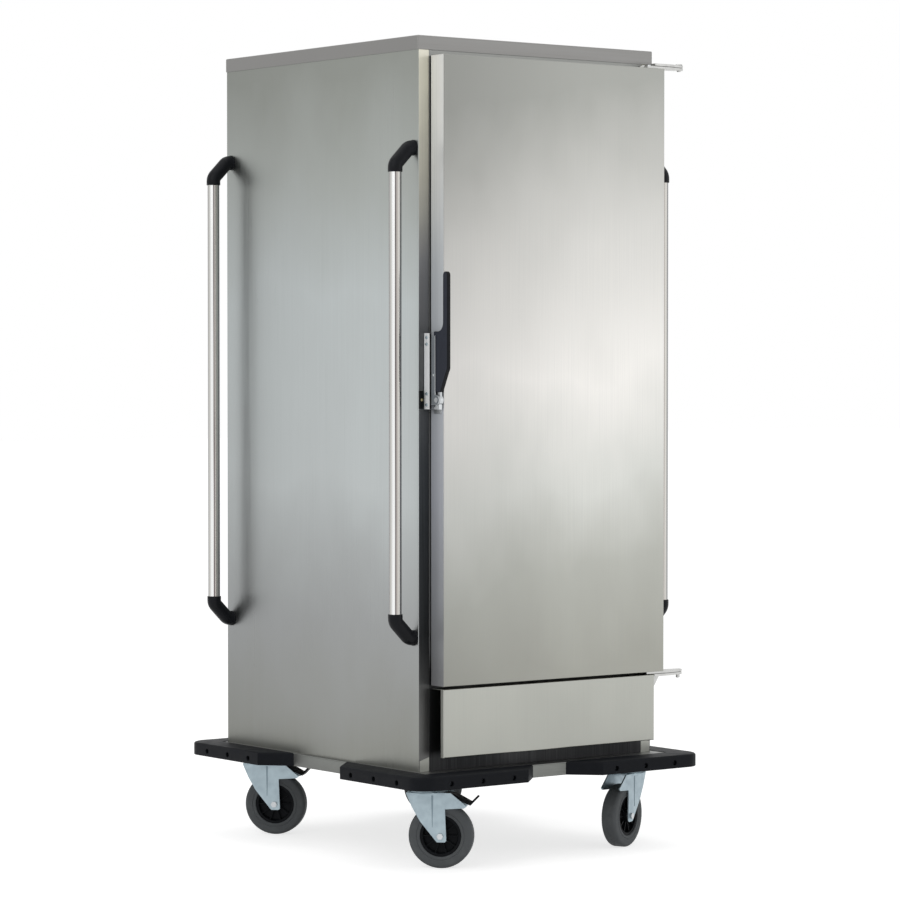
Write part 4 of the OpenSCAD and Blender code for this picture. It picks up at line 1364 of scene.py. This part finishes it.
@dataclass
class Latch(Assembly):
    """The lever latch on the left post, its lock, and the keeper on the door."""

    pivot_f: float = 37.5
    pivot_z: float = 710.0
    lever_x: tuple[float, float] = (16.5, 25.0)
    back: float = 26.0
    depth: float = 43.0
    grip: float = 14.0
    length: float = 243.0
    neck: float = 130.0
    fillet: float = 17.0
    strip: tuple[float, float] = (692.0, 837.0)
    web_x: float = 14.0
    screw: Heads = Heads(HeadForm.CROSS, 3.1, 1.4, 0.9)
    screw_z: tuple[float, ...] = (700.5, 721.5, 816.0, 828.5)
    rivet: Heads = Heads(HeadForm.RIVET, 2.2, 0.8)
    lock_x: float = 4.5
    bolt_r: float = 2.6
    bolt_length: float = 6.5

    def grip_outline(self) -> list[Point2]:
        """The black cover from the side, as places forward and up."""
        front, low = self.back + self.depth, self.pivot_z + 15
        top, neck = self.pivot_z + self.length, self.pivot_z + self.neck
        grip_back, end = front - self.grip, self.grip / 2
        return ([(self.back + 0.1, low), (self.pivot_f + 9.5, low)]
                + arc(front - 12, self.pivot_z + 62, 12, -42, 0, 5)
                + arc(front - end, top - end, end, 0, 180, 16)
                + arc(grip_back - self.fillet, neck + self.fillet, self.fillet, 0, -90, 10)
                + arc(self.back + 1.9, neck - 1.8, 1.8, 90, 180, 4))

    def build(self) -> None:
        """Builds the latch."""
        left = faces_way(-1, 0, 0)
        # The bracket's left faces take a darker copy of its plating as painted shade.
        self.dress("latch_bracket", PLATED, 0.5, segments=2, faces=[(WEB_SHADE_STEEL, left)])
        self.dress("lock_block", BLACK_PLASTIC, 0.8, segments=3)
        self.dress("latch_pivot", PLATED, 0.3)
        self.dress("latch_keeper", PLATED, 0.6, body="door")
        self.dress("latch_lever", PLATED, 0.5, body="lever")
        self.dress("latch_hook", PLATED, 0.6, body="lever")
        self.cover()
        self.screw_strip()
        bolt, r, end = bmesh.new(), self.bolt_r, self.bolt_length
        axis = along_y(cabinet_frame(self.lock_x, 0.0, self.pivot_z))
        turned(bolt, [(r, 0.0), (r, end - 0.6), (r - 0.5, end)],
               axis @ Matrix.Rotation(math.pi, 4, "X"), 32)
        self.keep(new_object(bolt, "turned_lock_bolt", recalc=True), BRASS, "lock_bolt")

    def screw_strip(self) -> None:
        """Adds the strip with its four screws, drawn white as a painted reflection, a black slab
        beside it as a painted shadow in the slot, and a rivet.
        """
        low, high = self.strip
        left = Vector((-1, 0, 0))
        # The white strip is a painted reflection on the plated flange, and the black slab beside it
        # is a painted shadow in the slot.
        for name, finish, fs, proud in (("latch_screw_strip", STRIP_REFLECTION_STEEL, (0.5, 17.2), 0.6),
                                        ("latch_slot_shadow", SEAL_RUBBER, (17.2, 22.6), 0.1)):
            bm = bmesh.new()
            outline = [(fs[0], low + 0.3), (fs[1], low + 0.3), (fs[1], high - 0.3),
                       (fs[0], high - 0.3)]
            slab(bm, outline, self.web_x - proud, self.web_x + 0.2,
                 lambda f, z, x: at(x, f, z))
            self.keep(eased(new_object(bm, name, recalc=True), 0.08), finish)
        places = [(at(self.web_x - 1.3, 9.0, z), left) for z in self.screw_z]
        self.keep(self.screw.build("latch_screw_heads", ZINC, places), ZINC, "latch_screws")
        place = at(self.web_x - 0.1, 28.5, 757.0)
        self.keep(self.rivet.build("latch_web_rivet", PLATED, [(place, left)]), PLATED)

    def cover(self) -> None:
        """Adds the moulded cover of the lever, its left faces a lighter copy of the grip plastic as
        painted light.
        """
        bm = bmesh.new()
        slab(bm, self.grip_outline(), *self.lever_x, lambda f, z, x: at(x, f, z))
        obj = eased(new_object(bm, "lever_cover", recalc=True), 1.5, segments=4)
        # Painted light: the cover's left faces are lighter than its front.
        self.keep(painted(obj, GRIP_PLASTIC, [(GRIP_LIT_SIDE, faces_way(-1, 0, 0))]),
                  GRIP_PLASTIC, "latch_grip", body="lever")


@dataclass
class Caster(Assembly):
    """One swivel caster: a pressed fork, an axle, a ribbed hub, a tyre and maybe a brake."""

    name: str
    x: float
    f: float
    heading: float
    braked: bool
    wheel_r: float = 62.5
    trail: float = 34.5
    half: float = 16.0
    hub_r: float = 40.0
    fork_out: float = 5.0
    ribs: int = 10

    def foot_frame(self) -> Matrix:
        """A frame on the floor under the swivel, with X the way the caster trails."""
        p = at(self.x, self.f, 0)
        turn = Matrix.Rotation(math.radians(self.heading), 4, "Z")
        return Matrix.Translation((p.x, p.y, 0)) @ turn

    def axle_frame(self) -> Matrix:
        """A frame on the wheel's axis, with Z along the axle."""
        centre = Matrix.Translation((self.trail * MM, 0, self.wheel_r * MM))
        return along_y(self.foot_frame() @ centre)

    def tyre_profile(self) -> list[Point2]:
        """Half a turned section through the tyre, from its bore and back to it."""
        r, h, bore = self.wheel_r, self.half, self.hub_r
        right = [(bore, h - 1.0), (bore + 1.0, h - 0.2), (bore + 5.0, h), (bore + 5.6, h - 0.7),
                 (bore + 6.6, h - 0.7), (bore + 7.2, h)]
        right += arc(r - 7.0, h - 7.0, 7.0, 90, 8, 9)
        right += [(r, h - 9.0), (r, 0.6), (r - 0.35, 0.2)]
        return right + [(u, -v) for u, v in reversed(right)]

    def build(self) -> None:
        """Builds the caster."""
        fork, wheel = self.name + "_swivel", self.name + "_wheel"
        self.dress(self.name + "_fork", ZINC, 0.9, segments=3, body=fork)
        self.dress(self.name + "_axle", PLATED, 0.5, body=fork)
        self.creases(fork)
        frame = self.axle_frame()
        bm = bmesh.new()
        turned(bm, self.tyre_profile(), frame, 96, looped=True)
        self.keep(new_object(bm, self.name + "_moulded_tyre", recalc=True), TYRE_RUBBER,
                  self.name + "_tyre", body=wheel)
        self.hub(frame, wheel)
        if self.braked:
            self.dress(self.name + "_brake_pedal", BLACK_PLASTIC, 1.0, segments=3,
                       body=self.name + "_pedal")

    def creases(self, fork: str) -> None:
        """Adds a thin darker strip down the outside of both fork plates, painted shade where each
        plate has its pressed crease.

        Args:
            fork: The fork's body.
        """
        foot, outer = self.foot_frame(), self.half + self.fork_out
        bm = bmesh.new()
        for side in (1, -1):
            slab(bm, [(17.6, 141.0), (19.0, 80.0), (20.0, 80.0), (21.4, 141.0)], side * outer,
                 side * (outer + 0.5), lambda u, z, v: foot @ Vector((u * MM, v * MM, z * MM)))
        self.keep(eased(new_object(bm, self.name + "_fork_crease_shade", recalc=True), 0.2), CREASE_SHADE_ZINC,
                  body=fork)

    def hub(self, frame: Matrix, wheel: str) -> None:
        """Adds the hub and its ribs.

        Args:
            frame: The wheel's axis.
            wheel: The wheel's body.
        """
        h, r = self.half - 2.0, self.hub_r
        half = [(4.05, self.half + 1.5), (12.0, self.half + 1.5), (13.0, self.half + 0.5),
                (13.0, 6.6), (14.4, 5.2), (r - 7.6, 5.2), (r - 6.2, 6.6), (r - 5.8, h - 0.6),
                (r - 5.2, h), (r - 0.8, h), (r, h - 0.8)]
        bm = bmesh.new()
        turned(bm, half + [(u, -v) for u, v in reversed(half)], frame, 72, looped=True)
        self.keep(new_object(bm, self.name + "_moulded_hub", recalc=True), BLACK_PLASTIC,
                  self.name + "_hub", body=wheel)
        ribs = grown(ribs_tree(), self.name + "_hub_ribs", BLACK_PLASTIC, {
            "Count": self.ribs, "Inner radius": 12.6 * MM, "Outer radius": (r - 5.9) * MM,
            "Thickness": 2.2 * MM, "Depth": 2 * (h - 3.0) * MM})
        ribs.data.transform(frame)
        self.keep(ribs, BLACK_PLASTIC, body=wheel)


@dataclass
class Casters(Assembly):
    """The four casters with what holds them to the base frame."""

    all: list[Caster] = field(default_factory=lambda: [
        Caster("front_left", 32, -26, -45, True),
        Caster("front_right", 548, -26, -157, False),
        Caster("rear_left", 46, -608, -47, True),
        Caster("rear_right", 534, -608, 143, False)])

    def build(self) -> None:
        """Builds the casters."""
        self.dress("caster_top_plates", ZINC, 0.8, segments=2)
        self.dress("caster_bolts", PLATED, 0.6, segments=2)
        for caster in self.all:
            caster.build()


# ---------------------------------------------------------------- studio


@dataclass
class Studio:
    """Camera, soft lamps and a pale floor that runs into a white surround."""

    camera_at: Place3 = (-4.1497, -5.5064, 0.9726)
    tilt: float = -1.512
    heading: float = -37.15
    lens: float = 136.2
    ambient: float = 0.6

    def build(self) -> None:
        """Builds the studio."""
        self.camera()
        self.world()
        self.floor()
        self.softbox("key_softbox", (-3.4, -1.2, 3.2), (0.0, 0.0, 0.8), (3.2, 3.2), 30.0)
        self.softbox("front_softbox", (2.6, -3.2, 1.5), (0.3, -0.35, 1.0), (2.6, 2.4), 7.0)
        self.softbox("top_softbox", (0.3, 0.2, 4.4), (0.0, 0.0, 1.0), (3.4, 3.4), 34.0)

    def camera(self) -> None:
        """Adds the camera at the photograph's angle."""
        data = bpy.data.cameras.new("photo_camera")
        data.lens, data.sensor_width = self.lens, 36.0
        camera = bpy.data.objects.new("photo_camera", data)
        camera.location = self.camera_at
        camera.rotation_euler = (math.radians(90 + self.tilt), 0.0, math.radians(self.heading))
        bpy.context.scene.collection.objects.link(camera)
        bpy.context.scene.camera = camera

    def world(self) -> None:
        """Makes a surround that is white to the eye and in metal, and softer as light."""
        world = bpy.data.worlds.new("studio_surround")
        bpy.context.scene.world = world
        world.use_nodes = True
        tree = world.node_tree
        tree.nodes.clear()
        seen = self.seen_rays(tree)
        strength = spread(tree, seen, self.ambient, 1.0, 0.0, 1.0)
        light = add(tree, "ShaderNodeBackground", {"Color": (1, 1, 1, 1), "Strength": strength})
        add(tree, "ShaderNodeOutputWorld", {"Surface": light.outputs[0]})

    def seen_rays(self, tree: Tree) -> Socket:
        """One for rays from the camera, from gloss and through glass, else nothing."""
        path = add(tree, "ShaderNodeLightPath").outputs
        first = worked(tree, "MAXIMUM", path["Is Camera Ray"], path["Is Glossy Ray"])
        return worked(tree, "MAXIMUM", first, path["Is Transmission Ray"])

    def floor(self) -> None:
        """Adds the floor, white where it is lit and with the cart's soft shadow."""
        bm = bmesh.new()
        bmesh.ops.create_grid(bm, x_segments=1, y_segments=1, size=30.0)
        floor = new_object(bm, "studio_floor")
        made = bpy.data.materials.new("studio_floor_paper")
        made.use_nodes = True
        tree = made.node_tree
        tree.nodes.clear()
        paper = add(tree, "ShaderNodeBsdfDiffuse", {"Color": (0.6, 0.6, 0.6, 1)})
        glow = add(tree, "ShaderNodeEmission", {"Color": (0.7, 0.7, 0.7, 1)})
        both = add(tree, "ShaderNodeAddShader", {0: paper.outputs[0], 1: glow.outputs[0]})
        plain = add(tree, "ShaderNodeBsdfDiffuse", {"Color": (0.75, 0.75, 0.75, 1)})
        mixed = add(tree, "ShaderNodeMixShader", {0: self.seen_rays(tree), 1: plain.outputs[0],
                                                  2: both.outputs[0]})
        add(tree, "ShaderNodeOutputMaterial", {"Surface": mixed.outputs[0]})
        floor.data.materials.append(made)

    def softbox(self, name: str, where: Place3, aim: Place3, size: Point2, power: float) -> None:
        """Adds a rectangular softbox.

        Args:
            name: Its name.
            where: Its place, in metres.
            aim: The place that it looks at.
            size: Its width and height, in metres.
            power: Its power, in watts.
        """
        data = bpy.data.lights.new(name, "AREA")
        data.shape, data.size, data.size_y, data.energy = "RECTANGLE", size[0], size[1], power
        lamp = bpy.data.objects.new(name, data)
        lamp.location = where
        lamp.rotation_euler = (Vector(aim) - Vector(where)).to_track_quat("-Z", "Y").to_euler()
        bpy.context.scene.collection.objects.link(lamp)


def main() -> None:
    """Loads the frame and builds the cart and the studio round it."""
    logging.basicConfig(level=logging.INFO, format="%(name)s: %(message)s")
    bpy.context.scene.view_settings.view_transform = "Standard"
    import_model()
    for part in (Studio(), Cabinet(), Interior(), Base(), Bumpers(), Handles(), Door(), Hinges(),
                 Latch(), Casters()):
        log.info("building %s", type(part).__name__)
        part.build()


if __name__ == "__main__":
    main()
